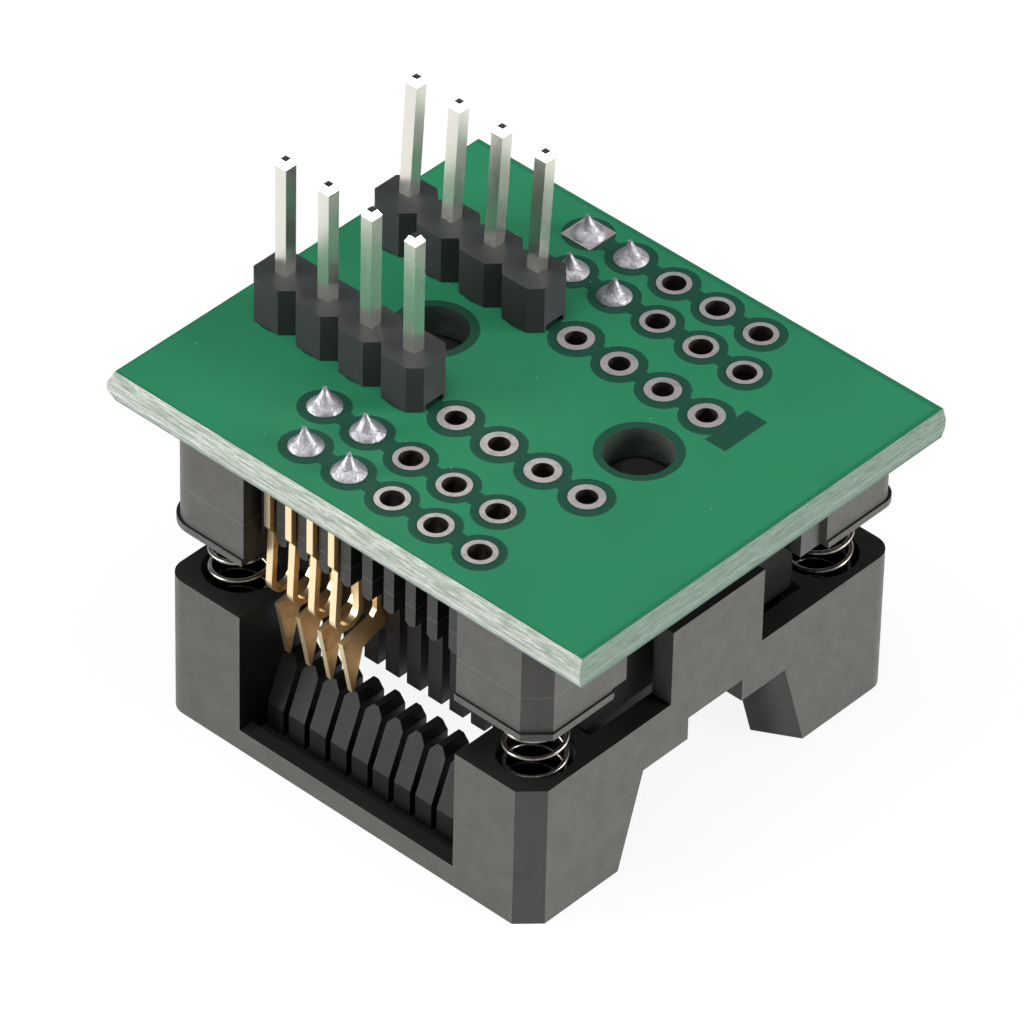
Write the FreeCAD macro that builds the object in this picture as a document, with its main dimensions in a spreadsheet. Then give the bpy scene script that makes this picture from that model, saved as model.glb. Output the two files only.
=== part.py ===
import FreeCAD, Part
import math
import os
import re

import Sketcher

# Adapter that turns a small-outline chip into a two-row pin package: a sprung open-top
# socket, a drilled circuit board and two pin headers. It stands as it does on a bench
# with the pins up: the socket's cover rests on the surface and the board is on top.
# Origin: centre of the footprint, on the surface. +X runs along the contact rows,
# +Y from the near contact row to the far one, +Z from the cover to the pins.
# "out" sizes are distances in Y from the middle plane between the two contact rows.

SIZES = {
    # circuit board, over the ridges that the scored edges leave
    "board_length": 27.7,
    "board_width": 23.35,
    "board_thickness": 1.6,
    "edge_web": 0.4,
    "edge_bevel_front": 0.25,
    "edge_bevel_back": 0.1,
    # where the socket and the header rows lie on the board
    "socket_x": 0.28,
    "axis_y": 0.28,
    # pin headers
    "header_start": 11.0,
    "header_pitch": 2.54,
    "header_row_gap": 7.62,
    "header_width": 2.46,
    "header_height": 2.45,
    "header_notch": 0.55,
    "header_channel_width": 1.1,
    "header_channel_height": 0.35,
    "header_pin_side": 0.64,
    "header_pin_rise": 8.6,
    "header_pin_tail": 0.55,
    "header_pin_point": 0.3,
    "header_pin_tip_side": 0.34,
    "near_row_lean": 0.0,
    "far_row_lean": 3.4,
    # plated holes
    "plating_wall": 0.05,
    "plating_ring_thickness": 0.04,
    "header_bore": 1.0,
    "header_ring": 1.66,
    "socket_bore": 1.1,
    "socket_ring": 1.6,
    "square_ring_side": 1.75,
    "inner_hole_out": 7.142,
    "outer_hole_out": 9.636,
    "peg_hole": 3.2,
    # solder
    "solder_skirt": 1.56,
    "solder_waist": 0.62,
    "solder_skirt_rise": 0.5,
    "solder_peak_rise": 1.35,
    "solder_clearance": 0.02,
    "fillet_rise": 0.45,
    # socket base
    "base_overhang": 0.07,
    "base_inset": 0.14,
    "base_height": 4.9,
    "base_standoff": 0.1,
    "standoff_diameter": 2.4,
    "base_left_round": 1.5,
    "base_right_round": 1.0,
    "base_corner_chamfer": 1.0,
    "skirt_step": 0.12,
    "skirt_height": 0.35,
    "bay_length": 12.56,
    "island_length": 14.0,
    "island_out": 7.45,
    "island_drop": 5.7,
    "pocket_length": 12.9,
    "pocket_out": 3.2,
    "pocket_depth": 3.3,
    "rib_out": 10.46,
    "rib_width": 0.6,
    "rib_toe_width": 0.2,
    "rib_toe_height": 0.15,
    "rib_lift": 1.13,
    "slot_width": 0.46,
    "slot_top_drop": 0.8,
    "anchor_slot_out": 6.1,
    "anchor_slot_lift": 1.5,
    "end_recess_depth": 1.4,
    "end_recess_width": 11.2,
    "end_step_depth": 0.35,
    "end_step_width": 13.8,
    "end_body_reach": 9.3,
    "end_body_width": 13.3,
    "end_body_drop": 3.05,
    "tail_groove_width": 2.2,
    "tail_groove_depth": 0.95,
    "tail_groove_end": 1.3,
    "peg_spacing": 12.04,
    "peg_diameter": 1.5,
    "peg_sink": 0.95,
    "stub_diameter": 2.1,
    "stub_length": 0.7,
    # cover
    "cover_length": 21.82,
    "cover_width": 23.44,
    "cover_height": 7.6,
    "cover_corner_round": 1.0,
    "cover_corner_chamfer": 1.0,
    "press_gap": 2.95,
    "opening_clearance": 0.33,
    "window_length": 12.8,
    "window_floor": 0.5,
    "sill_height": 1.15,
    "sill_thickness": 0.8,
    "cam_width": 0.95,
    "cam_ridge_width": 0.3,
    "cam_gable_rise": 0.4,
    "cam_height": 4.47,
    "cam_shoulder_out": 9.13,
    "cam_foot_out": 10.15,
    "cam_foot_height": 1.95,
    "spring_pocket": 3.5,
    "spring_pocket_depth": 3.6,
    "spring_inset_x": 2.16,
    "spring_inset_y": 2.52,
    "end_bar_thickness": 1.15,
    "end_leg_thickness": 2.05,
    "end_opening_width": 13.7,
    "notch_height": 4.9,
    "notch_foot_width": 12.1,
    "notch_head_width": 9.2,
    "notch_flare": 1.17,
    "notch_flare_depth": 2.05,
    "bar_notch_width": 3.5,
    "bar_notch_height": 6.1,
    "tab_width": 5.88,
    "tab_rise": 4.05,
    "tab_thickness": 1.1,
    "hook_reach": 0.5,
    "hook_height": 0.65,
    "hook_clearance": 0.05,
    "press_travel": 2.4,
    "slide_clearance": 0.2,
    # return springs
    "spring_diameter": 2.95,
    "spring_wire": 0.22,
    "spring_pitch": 1.0,
    "spring_end_gap": 0.03,
    # contacts, blanked from sheet and standing on edge across the row
    "socket_positions": 10,
    "contacts_per_row": 4,
    "contact_pitch": 1.27,
    "contact_thickness": 0.36,
    "arm_thickness": 0.26,
    "strand_width": 0.3,
    "stem_out": 10.56,
    "stem_jog": 0.25,
    "jog_lift": 1.65,
    "jog_run": 0.35,
    "loop_out": 9.72,
    "loop_radius": 0.73,
    "loop_drop": 1.87,
    "arch_radius": 0.6,
    "pivot_out": 8.45,
    "pivot_lift": 1.8,
    "pivot_radius": 0.2,
    "pivot_clearance": 0.05,
    "bar_drop": 1.5,
    "bar_height": 0.5,
    "anchor_width": 0.6,
    "anchor_out": 6.5,
    "anchor_lift": 1.7,
    "tail_width": 0.44,
    "tail_rise": 0.45,
    "kink_out": 10.14,
    "kink_drop": 2.69,
    "lever_tip_out": 9.5,
    "lever_tip_width": 0.13,
    "lever_tip_gap": 0.28,
    "lever_root_out": 8.85,
    "lever_root_drop": 3.6,
    "arm_shoulder_out": 8.22,
    "arm_shoulder_drop": 2.27,
    "arm_height": 0.95,
    "arm_neck_out": 4.2,
    "arm_neck_drop": 3.1,
    "arm_neck_height": 0.65,
    "nose_out": 2.75,
    "nose_width": 0.3,
    "nose_gap": 0.06,
}

# Plan sizes that follow from others: the base goes with the cover, the springs with its corners
BASE_LENGTH = "(cover_length + 2 * base_overhang)"
BASE_WIDTH = "(cover_width - 2 * base_inset)"
SPRING_X = "(cover_length / 2 - spring_inset_x)"
SPRING_Y = "(cover_width / 2 - spring_inset_y)"

# Levels above the surface, each worked out from the sizes
RIM = "cover_height"
BLOCK_FOOT = f"{RIM} + press_gap"
BASE_TOP = f"{BLOCK_FOOT} + base_height"
BOARD_UNDER = f"{BASE_TOP} + base_standoff"
BOARD_TOP = f"{BOARD_UNDER} + board_thickness"
ISLAND_FOOT = f"{BLOCK_FOOT} - island_drop"
SEAT = f"{ISLAND_FOOT} + pocket_depth"
SPRING_FLOOR = f"{RIM} - spring_pocket_depth"
TAB_TOP = f"{RIM} + tab_rise"
HOOK_FOOT = f"{TAB_TOP} - hook_height"
PEG_TOP = f"{BOARD_TOP} - peg_sink"

LEVELS = {
    "block_foot": BLOCK_FOOT,
    "board_under": BOARD_UNDER,
    "board_top": BOARD_TOP,
    "seat": SEAT,
}

# How far a cutting block runs past the face that it cuts
PAST = 1.0
NEAR, FAR = -1, 1
LEFT, RIGHT = -1, 1
SIDE_NAMES = {NEAR: "near", FAR: "far"}

doc = FreeCAD.newDocument("programming_adapter")
sheet = doc.addObject("Spreadsheet::Sheet", "Sizes")
for row, (alias, number) in enumerate(SIZES.items(), start=1):
    sheet.set(f"A{row}", alias)
    sheet.set(f"B{row}", str(number))
    sheet.setAlias(f"B{row}", alias)
doc.recompute()


def bound(text):
    """An expression whose size names point into the sheet."""

    def reference(word):
        return f"Sizes.{word.group()}" if word.group() in SIZES else word.group()

    return re.sub(r"[a-z_]+", reference, str(text))


def size(alias):
    """The number that the sheet holds for one size, in millimetres."""
    return float(getattr(sheet, alias))


levels = doc.addObject("App::FeaturePython", "Levels")
for level_name, level_text in LEVELS.items():
    levels.addProperty("App::PropertyFloat", level_name)
    levels.setExpression(level_name, bound(level_text))
doc.recompute()


def level(name):
    """The height of one named level above the surface, in millimetres."""
    return float(getattr(levels, name))


def around(centre, half):
    """The pair of planes at equal distances from a centre."""
    return f"{centre} - ({half})", f"{centre} + ({half})"


def beside(centre, side, inner, outer):
    """The pair of planes between two distances from a centre, on one side of it."""
    if side < 0:
        return f"{centre} - ({outer})", f"{centre} - ({inner})"
    return f"{centre} + ({inner})", f"{centre} + ({outer})"


def along(centre, side, distance):
    """The plane at a distance from a centre, on one side of it."""
    return f"{centre} {'-' if side < 0 else '+'} ({distance})"


def move_to(piece, x, y, z):
    """Binds a piece's place to three expressions."""
    for axis, text in zip("xyz", (x, y, z)):
        piece.setExpression(f"Placement.Base.{axis}", bound(text))
    return piece


def box(name, x_pair, y_pair, z_pair):
    """A block between three pairs of planes."""
    block = doc.addObject("Part::Box", name)
    for side_name, (low, high) in zip(("Length", "Width", "Height"), (x_pair, y_pair, z_pair)):
        block.setExpression(side_name, bound(f"({high}) - ({low})"))
    return move_to(block, x_pair[0], y_pair[0], z_pair[0])


def cylinder(name, x, y, z_pair, diameter):
    """An upright round bar between two levels."""
    bar = doc.addObject("Part::Cylinder", name)
    bar.setExpression("Radius", bound(f"({diameter}) / 2"))
    bar.setExpression("Height", bound(f"({z_pair[1]}) - ({z_pair[0]})"))
    return move_to(bar, x, y, z_pair[0])


def frustum(name, foot_x, foot_y, head_x, head_y, z_pair):
    """A block whose rectangular foot and head differ, between two levels."""
    wedge = doc.addObject("Part::Wedge", name)
    wedge.Placement.Rotation = FreeCAD.Rotation(FreeCAD.Vector(1, 0, 0), 90)
    for prop, text in (
        ("Xmin", foot_x[0]),
        ("Xmax", foot_x[1]),
        ("X2min", head_x[0]),
        ("X2max", head_x[1]),
        ("Zmin", f"-({foot_y[1]})"),
        ("Zmax", f"-({foot_y[0]})"),
        ("Z2min", f"-({head_y[1]})"),
        ("Z2max", f"-({head_y[0]})"),
        ("Ymin", "0"),
        ("Ymax", f"({z_pair[1]}) - ({z_pair[0]})"),
    ):
        wedge.setExpression(prop, bound(text))
    return move_to(wedge, "0", "0", z_pair[0])


def fuse(name, pieces):
    """Several pieces as one."""
    whole = doc.addObject("Part::MultiFuse", name)
    whole.Shapes = pieces
    whole.Refine = True
    return whole


def group(name, pieces):
    """Several pieces side by side, each still a piece of its own."""
    heap = doc.addObject("Part::Compound", name)
    heap.Links = pieces
    return heap


def cut(name, stock, tools):
    """A piece less its cutting tools."""
    result = doc.addObject("Part::Cut", name)
    result.Base = stock
    result.Tool = tools[0] if len(tools) == 1 else fuse(f"{name}_tools", tools)
    result.Refine = True
    return result


def as_part(piece, label):
    """Marks a piece as one of the adapter's own, under the name that it is kept by."""
    piece.Label = label
    kept.append(piece)
    return piece


def origin_plane(body, role):
    """One of a body's own three planes."""
    return next(feature for feature in body.Origin.OriginFeatures if feature.Role == role)


def upright_edge(shape, corner_x, corner_y):
    """The name of a block's vertical edge at the corner with the given signs."""
    upright = {
        number: edge.CenterOfMass
        for number, edge in enumerate(shape.Edges, start=1)
        if edge.BoundBox.ZLength > edge.Length / 2
    }
    best = max(upright, key=lambda number: upright[number].x * corner_x + upright[number].y * corner_y)
    return f"Edge{best}"


def moulded_outline(name, length, width, z_pair, round_sizes, chamfer_size):
    """A moulding's outer block: rounded left and far right corners, the near right one chamfered."""
    body = doc.addObject("PartDesign::Body", name)
    sketch = body.newObject("Sketcher::SketchObject", f"{name}_plan")
    sketch.AttachmentSupport = [(origin_plane(body, "XY_Plane"), "")]
    sketch.MapMode = "FlatFace"
    sketch.setExpression("AttachmentOffset.Base.z", bound(z_pair[0]))
    signs = ((LEFT, NEAR), (RIGHT, NEAR), (RIGHT, FAR), (LEFT, FAR))
    corners = [FreeCAD.Vector(end * PAST, side * PAST, 0) for end, side in signs]
    for index in range(4):
        sketch.addGeometry(Part.LineSegment(corners[index], corners[(index + 1) % 4]), False)
    for index in range(4):
        sketch.addConstraint(Sketcher.Constraint("Coincident", index, 2, (index + 1) % 4, 1))
    for line, kind in enumerate(("Horizontal", "Vertical", "Horizontal", "Vertical")):
        sketch.addConstraint(Sketcher.Constraint(kind, line))
    planes = (
        ("left", "DistanceX", 0, -PAST, f"socket_x - {length} / 2"),
        ("near", "DistanceY", 0, -PAST, f"axis_y - {width} / 2"),
        ("right", "DistanceX", 2, PAST, f"socket_x + {length} / 2"),
        ("back", "DistanceY", 2, PAST, f"axis_y + {width} / 2"),
    )
    for plane, kind, line, start, text in planes:
        index = sketch.addConstraint(Sketcher.Constraint(kind, -1, 1, line, 1, start))
        sketch.renameConstraint(index, plane)
        sketch.setExpression(f"Constraints.{plane}", bound(text))
    pad = body.newObject("PartDesign::Pad", f"{name}_pad")
    pad.Profile = sketch
    pad.setExpression("Length", bound(f"({z_pair[1]}) - ({z_pair[0]})"))
    doc.recompute()
    rounding = pad
    for end, sides, radius in ((LEFT, (NEAR, FAR), round_sizes[0]), (RIGHT, (FAR,), round_sizes[1])):
        before = rounding
        rounding = body.newObject("PartDesign::Fillet", f"{name}_rounding_{end}")
        rounding.Base = (before, [upright_edge(before.Shape, end, side) for side in sides])
        rounding.setExpression("Radius", bound(radius))
        doc.recompute()
    chamfer = body.newObject("PartDesign::Chamfer", f"{name}_chamfer")
    chamfer.Base = (rounding, [upright_edge(rounding.Shape, 1, -1)])
    chamfer.setExpression("Size", bound(chamfer_size))
    return body


def position_x(index):
    """Where a contact position lies along the row."""
    return f"socket_x + ({index} - (socket_positions - 1) / 2) * contact_pitch"


def header_x(index):
    """Where a header position lies along its row."""
    return f"{index} * header_pitch - header_start"


def header_y(side):
    """Where a header row lies."""
    return along("axis_y", side, "header_row_gap / 2")


def peg_x(end):
    """Where the guide peg at one end of the socket lies."""
    return along("socket_x", end, "peg_spacing / 2")


def tail_out(side, index):
    """Which of a side's two staggered hole rows a contact's tail goes to."""
    nearer = index % 2 == (0 if side == NEAR else 1)
    return "inner_hole_out" if nearer else "outer_hole_out"


POSITIONS = range(int(size("socket_positions")))
CONTACTS = range(int(size("contacts_per_row")))
HEADER_PINS = range(4)
HEADER_HOLES = range(8)
SOCKET_HOLES = [(side, index) for side in (NEAR, FAR) for index in POSITIONS]
SPRING_CORNERS = [(end, side) for end in (LEFT, RIGHT) for side in (NEAR, FAR)]
kept = []


def build_board():
    """The drilled board, whose scored edges come to a thin ridge at half thickness."""
    x_pair = around("0", "board_length / 2")
    y_pair = around("0", "board_width / 2")
    inner_x = ("edge_bevel_front - board_length / 2", "board_length / 2 - edge_bevel_back")
    inner_y = ("edge_bevel_front - board_width / 2", "board_width / 2 - edge_bevel_back")
    middle = f"{BOARD_UNDER} + board_thickness / 2"
    web = (f"{middle} - edge_web / 2", f"{middle} + edge_web / 2")
    sheet_of_board = fuse(
        "board_stock",
        [
            box("board_web", x_pair, y_pair, web),
            frustum("board_upper", x_pair, y_pair, inner_x, inner_y, (web[1], BOARD_TOP)),
            frustum("board_lower", inner_x, inner_y, x_pair, y_pair, (BOARD_UNDER, web[0])),
        ],
    )
    through = (f"{BOARD_UNDER} - {PAST}", f"{BOARD_TOP} + {PAST}")
    drills = [
        cylinder(
            f"header_drill_{SIDE_NAMES[side]}_{index}",
            header_x(index),
            header_y(side),
            through,
            "header_bore + 2 * plating_wall",
        )
        for side in (NEAR, FAR)
        for index in HEADER_HOLES
    ]
    drills += [
        cylinder(
            f"socket_drill_{SIDE_NAMES[side]}_{index}",
            position_x(index),
            along("axis_y", side, tail_out(side, index)),
            through,
            "socket_bore + 2 * plating_wall",
        )
        for side, index in SOCKET_HOLES
    ]
    drills += [
        cylinder(f"peg_drill_{end}", peg_x(end), "axis_y", through, "peg_hole")
        for end in (LEFT, RIGHT)
    ]
    board = doc.addObject("Part::Cut", "board_drilled")
    board.Base = sheet_of_board
    board.Tool = group("board_drills", drills)
    as_part(board, "circuit_board")


def build_plating(name, places, bore, ring, square_place=None):
    """The tinned barrels and rings of one set of holes, one square-ringed place among them."""
    barrels, rings, bores = [], [], []
    above = (BOARD_TOP, f"{BOARD_TOP} + plating_ring_thickness")
    below = (f"{BOARD_UNDER} - plating_ring_thickness", BOARD_UNDER)
    for number, (x, y) in enumerate(places):
        barrels.append(
            cylinder(f"{name}_barrel_{number}", x, y, (below[0], above[1]), f"{bore} + 2 * plating_wall")
        )
        rings.append(cylinder(f"{name}_lower_{number}", x, y, below, ring))
        if (x, y) == square_place:
            half = "square_ring_side / 2"
            rings.append(box(f"{name}_square_{number}", around(x, half), around(y, half), above))
        else:
            rings.append(cylinder(f"{name}_upper_{number}", x, y, above, ring))
        bores.append(
            cylinder(
                f"{name}_bore_{number}",
                x,
                y,
                (f"{BOARD_UNDER} - {PAST}", f"{BOARD_TOP} + {PAST}"),
                bore,
            )
        )
    eyelets = fuse(f"{name}_stock", [group(f"{name}_barrels", barrels), group(f"{name}_rings", rings)])
    plating = doc.addObject("Part::Cut", f"{name}_cut")
    plating.Base = eyelets
    plating.Tool = group(f"{name}_bores", bores)
    as_part(plating, name)


def build_header_pin(side, index):
    """A square pin with a short pyramid at each end, leaning with its row."""
    name = f"pin_{SIDE_NAMES[side]}_{index}"
    side_pair = around("0", "header_pin_side / 2")
    tip_pair = around("0", "header_pin_tip_side / 2")
    top = "board_thickness / 2 + header_pin_rise"
    foot = "-board_thickness / 2 - header_pin_tail"
    shoulder = f"{top} - header_pin_point"
    heel = f"{foot} + header_pin_point"
    pin = fuse(
        name,
        [
            box(f"{name}_shank", side_pair, side_pair, (heel, shoulder)),
            frustum(f"{name}_tip", side_pair, side_pair, tip_pair, tip_pair, (shoulder, top)),
            frustum(f"{name}_heel", tip_pair, tip_pair, side_pair, side_pair, (foot, heel)),
        ],
    )
    pin.Placement.Rotation = FreeCAD.Rotation(FreeCAD.Vector(-1, 0, 0), 1)
    pin.setExpression("Placement.Rotation.Angle", bound(f"{SIDE_NAMES[side]}_row_lean * 1 deg"))
    move_to(pin, header_x(index), header_y(side), f"{BOARD_UNDER} + board_thickness / 2")
    return as_part(pin, f"header_pin_{SIDE_NAMES[side]}_{index + 1}")


def build_header(side):
    """A header's plastic strip of four eight-sided cells, round its pins."""
    name = f"header_{SIDE_NAMES[side]}"
    pins = [build_header_pin(side, index) for index in HEADER_PINS]
    count = len(HEADER_PINS)
    ends = (f"{header_x(0)} - header_pitch / 2", f"{header_x(count - 1)} + header_pitch / 2")
    stand = (BOARD_TOP, f"{BOARD_TOP} + header_height")
    foot = f"{BOARD_TOP} + plating_ring_thickness"
    strip = box(f"{name}_strip", ends, around(header_y(side), "header_width / 2"), (foot, stand[1]))
    tools = [
        box(
            f"{name}_channel",
            (f"{ends[0]} - {PAST}", f"{ends[1]} + {PAST}"),
            around(header_y(side), "header_channel_width / 2"),
            (f"{BOARD_TOP} - {PAST}", f"{BOARD_TOP} + header_channel_height"),
        )
    ]
    for boundary in range(count + 1):
        for flank in (NEAR, FAR):
            notch = doc.addObject("Part::Prism", f"{name}_notch_{boundary}_{SIDE_NAMES[flank]}")
            notch.Polygon = 4
            notch.setExpression("Circumradius", bound("header_notch"))
            notch.setExpression("Height", bound(f"header_height + 2 * {PAST}"))
            move_to(
                notch,
                f"{header_x(boundary)} - header_pitch / 2",
                f"{header_y(side)} {'-' if flank == NEAR else '+'} header_width / 2",
                f"{BOARD_TOP} - {PAST}",
            )
            tools.append(notch)
    body = cut(f"{name}_body", cut(f"{name}_cells", strip, tools), pins)
    as_part(body, f"header_strip_{SIDE_NAMES[side]}")
    return pins


def build_header_solder(side, index, pin):
    """The fillet of solder round one pin's tail, below the board."""
    name = f"fillet_{SIDE_NAMES[side]}_{index}"
    cone = doc.addObject("Part::Cone", f"{name}_cone")
    cone.setExpression("Radius1", bound("header_pin_side * 0.8"))
    cone.setExpression("Radius2", bound("header_ring / 2"))
    cone.setExpression("Height", bound("fillet_rise"))
    foot = f"{BOARD_UNDER} - plating_ring_thickness - fillet_rise"
    move_to(cone, header_x(index), header_y(side), foot)
    as_part(cut(name, cone, [pin]), f"header_solder_{SIDE_NAMES[side]}_{index + 1}")


def upright_wire(points):
    """A closed outline of straight runs through points given as (out, height)."""
    corners = [FreeCAD.Vector(0, out, height) for out, height in points]
    return Part.makePolygon(corners + corners[:1])


def plate(low, high):
    """A rectangular outline between two corners given as (out, height)."""
    return upright_wire([low, (high[0], low[1]), high, (low[0], high[1])])


def sheet_piece(wire, thickness):
    """The flat blank that an outline encloses, centred on its own plane."""
    blank = Part.Face(wire).extrude(FreeCAD.Vector(thickness, 0, 0))
    blank.translate(FreeCAD.Vector(-thickness / 2, 0, 0))
    return blank


def strand(edges, width, thickness):
    """A narrow blanked strand of even width along a path of lines and arcs."""
    return sheet_piece(Part.Wire(edges).makeOffset2D(width / 2, 0, False, False, False), thickness)


def line(start, end):
    """A straight edge between two points given as (out, height)."""
    return Part.LineSegment(FreeCAD.Vector(0, *start), FreeCAD.Vector(0, *end)).toShape()


def arc(start, middle, end):
    """A round edge through three points given as (out, height)."""
    points = [FreeCAD.Vector(0, *point) for point in (start, middle, end)]
    return Part.Arc(*points).toShape()


def on_circle(centre, radius, degrees):
    """The point at an angle on a circle, from the outward direction towards +Z."""
    angle = math.radians(degrees)
    return centre[0] + radius * math.cos(angle), centre[1] + radius * math.sin(angle)


def pivot_eye(radius, thickness):
    """A round eye at the top of a contact's arch, where its arm turns."""
    height = level("block_foot") + size("pivot_lift")
    start = FreeCAD.Vector(-thickness / 2, size("pivot_out"), height)
    return Part.makeCylinder(radius, thickness, start, FreeCAD.Vector(1, 0, 0))


def contact_stem_shape(tail):
    """The held half of a contact: anchor, tail, outer stem, lower loop and half the arch."""
    thickness = size("contact_thickness")
    width = size("strand_width")
    foot = level("block_foot")
    bar_top = level("board_under") - size("bar_drop") + size("bar_height")
    bar_foot = bar_top - size("bar_height")
    pivot = (size("pivot_out"), foot + size("pivot_lift"))
    stem = size("stem_out")
    loop = (size("loop_out"), foot - size("loop_drop") + size("loop_radius"))
    jog_top = (stem, foot + size("jog_lift") + size("jog_run"))
    jog_foot = (stem - size("stem_jog"), foot + size("jog_lift"))
    outer = on_circle(loop, size("loop_radius"), 0)
    inner = on_circle(loop, size("loop_radius"), 180)
    arch = (pivot[0], pivot[1] - size("arch_radius"))
    crown = on_circle(arch, size("arch_radius"), 0)
    path = [
        line((stem, bar_foot + width / 2), jog_top),
        line(jog_top, jog_foot),
        line(jog_foot, outer),
        arc(outer, on_circle(loop, size("loop_radius"), 270), inner),
        line(inner, crown),
        arc(crown, on_circle(arch, size("arch_radius"), 45), on_circle(arch, size("arch_radius"), 90)),
    ]
    anchor_in = size("anchor_out") - size("anchor_width") / 2
    anchor_foot = foot + size("anchor_lift")
    half_tail = size("tail_width") / 2
    plates = [
        plate((anchor_in, bar_foot), (stem + width / 2, bar_top)),
        plate((anchor_in, anchor_foot), (anchor_in + size("anchor_width"), bar_top)),
        plate((tail - half_tail, bar_foot), (tail + half_tail, level("board_top") + size("tail_rise"))),
    ]
    whole = strand(path, width, thickness)
    whole = whole.fuse([sheet_piece(outline, thickness) for outline in plates])
    socket = pivot_eye(size("pivot_radius") + size("pivot_clearance"), thickness)
    return whole.cut(socket).removeSplitter()


def contact_arm_shape():
    """The moving half of a contact: half the arch, the arm to its nose and the lever."""
    thickness = size("arm_thickness")
    width = size("strand_width")
    foot = level("block_foot")
    pivot = (size("pivot_out"), foot + size("pivot_lift"))
    arch = (pivot[0], pivot[1] - size("arch_radius"))
    strand_out = pivot[0] - size("arch_radius")
    shoulder_z = foot - size("arm_shoulder_drop")
    tip_z = size("cam_height") + size("lever_tip_gap")
    nose_z = level("seat") - size("nose_gap")
    neck = (size("arm_neck_out"), foot - size("arm_neck_drop"))
    tip_out = size("lever_tip_out")
    nose_in = size("nose_out") - size("nose_width") / 2
    descent = [
        arc(pivot, on_circle(arch, size("arch_radius"), 135), on_circle(arch, size("arch_radius"), 180)),
        line((strand_out, arch[1]), (strand_out, shoulder_z)),
    ]
    head = [
        (size("kink_out"), foot - size("kink_drop")),
        (size("arm_shoulder_out"), shoulder_z),
        (strand_out + width / 2, shoulder_z + width),
        (strand_out - width / 2, shoulder_z + width),
        neck,
        (nose_in + size("nose_width"), nose_z),
        (nose_in, nose_z),
        (nose_in - size("nose_width") / 2, nose_z - size("nose_width")),
        (neck[0], neck[1] - size("arm_neck_height")),
        (strand_out, shoulder_z - size("arm_height")),
        (size("lever_root_out"), foot - size("lever_root_drop")),
        (tip_out - size("lever_tip_width"), tip_z),
        (tip_out, tip_z),
    ]
    whole = strand(descent, width, thickness).fuse(sheet_piece(upright_wire(head), thickness))
    return whole.fuse(pivot_eye(size("pivot_radius"), thickness)).removeSplitter()


def place_contact(shape, side, index, label, offset="0"):
    """Sets a contact's piece in its slot, turned about for the near row, and off its middle."""
    if side == NEAR:
        shape = shape.mirror(FreeCAD.Vector(0, 0, 0), FreeCAD.Vector(0, 1, 0))
    piece = doc.addObject("Part::Feature", label)
    piece.Shape = shape
    return move_to(as_part(piece, label), along(position_x(index), -side, offset), "axis_y", "0")


def build_contacts():
    """The two rows of contacts, each in a held half and a moving half."""
    arm = contact_arm_shape()
    flush = "(contact_thickness - arm_thickness) / 2"
    tails = {}
    for side in (NEAR, FAR):
        for index in CONTACTS:
            name = f"{SIDE_NAMES[side]}_{index + 1}"
            stem = contact_stem_shape(size(tail_out(side, index)))
            tails[side, index] = place_contact(stem, side, index, f"contact_stem_{name}")
            place_contact(arm, side, index, f"contact_arm_{name}", flush)
    return tails


def build_contact_solder(side, index, stem):
    """The pointed cone of solder round one contact's tail, with what fills the hole."""
    name = f"cone_{SIDE_NAMES[side]}_{index}"
    x, y = position_x(index), along("axis_y", side, tail_out(side, index))
    foot = f"{BOARD_TOP} + plating_ring_thickness"
    plug_pair = (BOARD_UNDER, f"{foot} + solder_clearance")
    plug = cylinder(f"{name}_plug", x, y, plug_pair, "socket_bore - 2 * solder_clearance")
    skirt = doc.addObject("Part::Cone", f"{name}_skirt")
    skirt.setExpression("Radius1", bound("solder_skirt / 2"))
    skirt.setExpression("Radius2", bound("solder_waist / 2"))
    skirt.setExpression("Height", bound("solder_skirt_rise"))
    move_to(skirt, x, y, foot)
    peak = doc.addObject("Part::Cone", f"{name}_peak")
    peak.setExpression("Radius1", bound("solder_waist / 2"))
    peak.setExpression("Radius2", bound("solder_clearance"))
    peak.setExpression("Height", bound("solder_peak_rise - solder_skirt_rise"))
    move_to(peak, x, y, f"{foot} + solder_skirt_rise")
    whole = fuse(f"{name}_whole", [plug, skirt, peak])
    as_part(cut(name, whole, [stem]), f"contact_solder_{SIDE_NAMES[side]}_{index + 1}")


def base_bays():
    """What is cut from the base's block: contact bays, stepped end recesses and hook pockets."""
    tools = []
    half_length = f"{BASE_LENGTH} / 2"
    whole = (f"{BLOCK_FOOT} - {PAST}", f"{BOARD_UNDER} + {PAST}")
    for side in (NEAR, FAR):
        tools.append(
            box(
                f"bay_{SIDE_NAMES[side]}",
                around("socket_x", "bay_length / 2"),
                beside("axis_y", side, "island_out", f"{BASE_WIDTH} / 2 + {PAST}"),
                whole,
            )
        )
    for end in (LEFT, RIGHT):
        for step in ("end_recess", "end_step"):
            tools.append(
                box(
                    f"{step}_{end}",
                    beside("socket_x", end, f"{half_length} - {step}_depth", f"{half_length} + {PAST}"),
                    around("axis_y", f"{step}_width / 2"),
                    whole,
                )
            )
        tools.append(
            box(
                f"hook_pocket_{end}",
                beside(
                    "socket_x",
                    end,
                    "cover_length / 2 - tab_thickness - hook_reach - slide_clearance",
                    half_length,
                ),
                around("axis_y", "tab_width / 2 + slide_clearance"),
                (f"{HOOK_FOOT} - hook_clearance", f"{TAB_TOP} + press_travel + slide_clearance"),
            )
        )
    return tools


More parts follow.
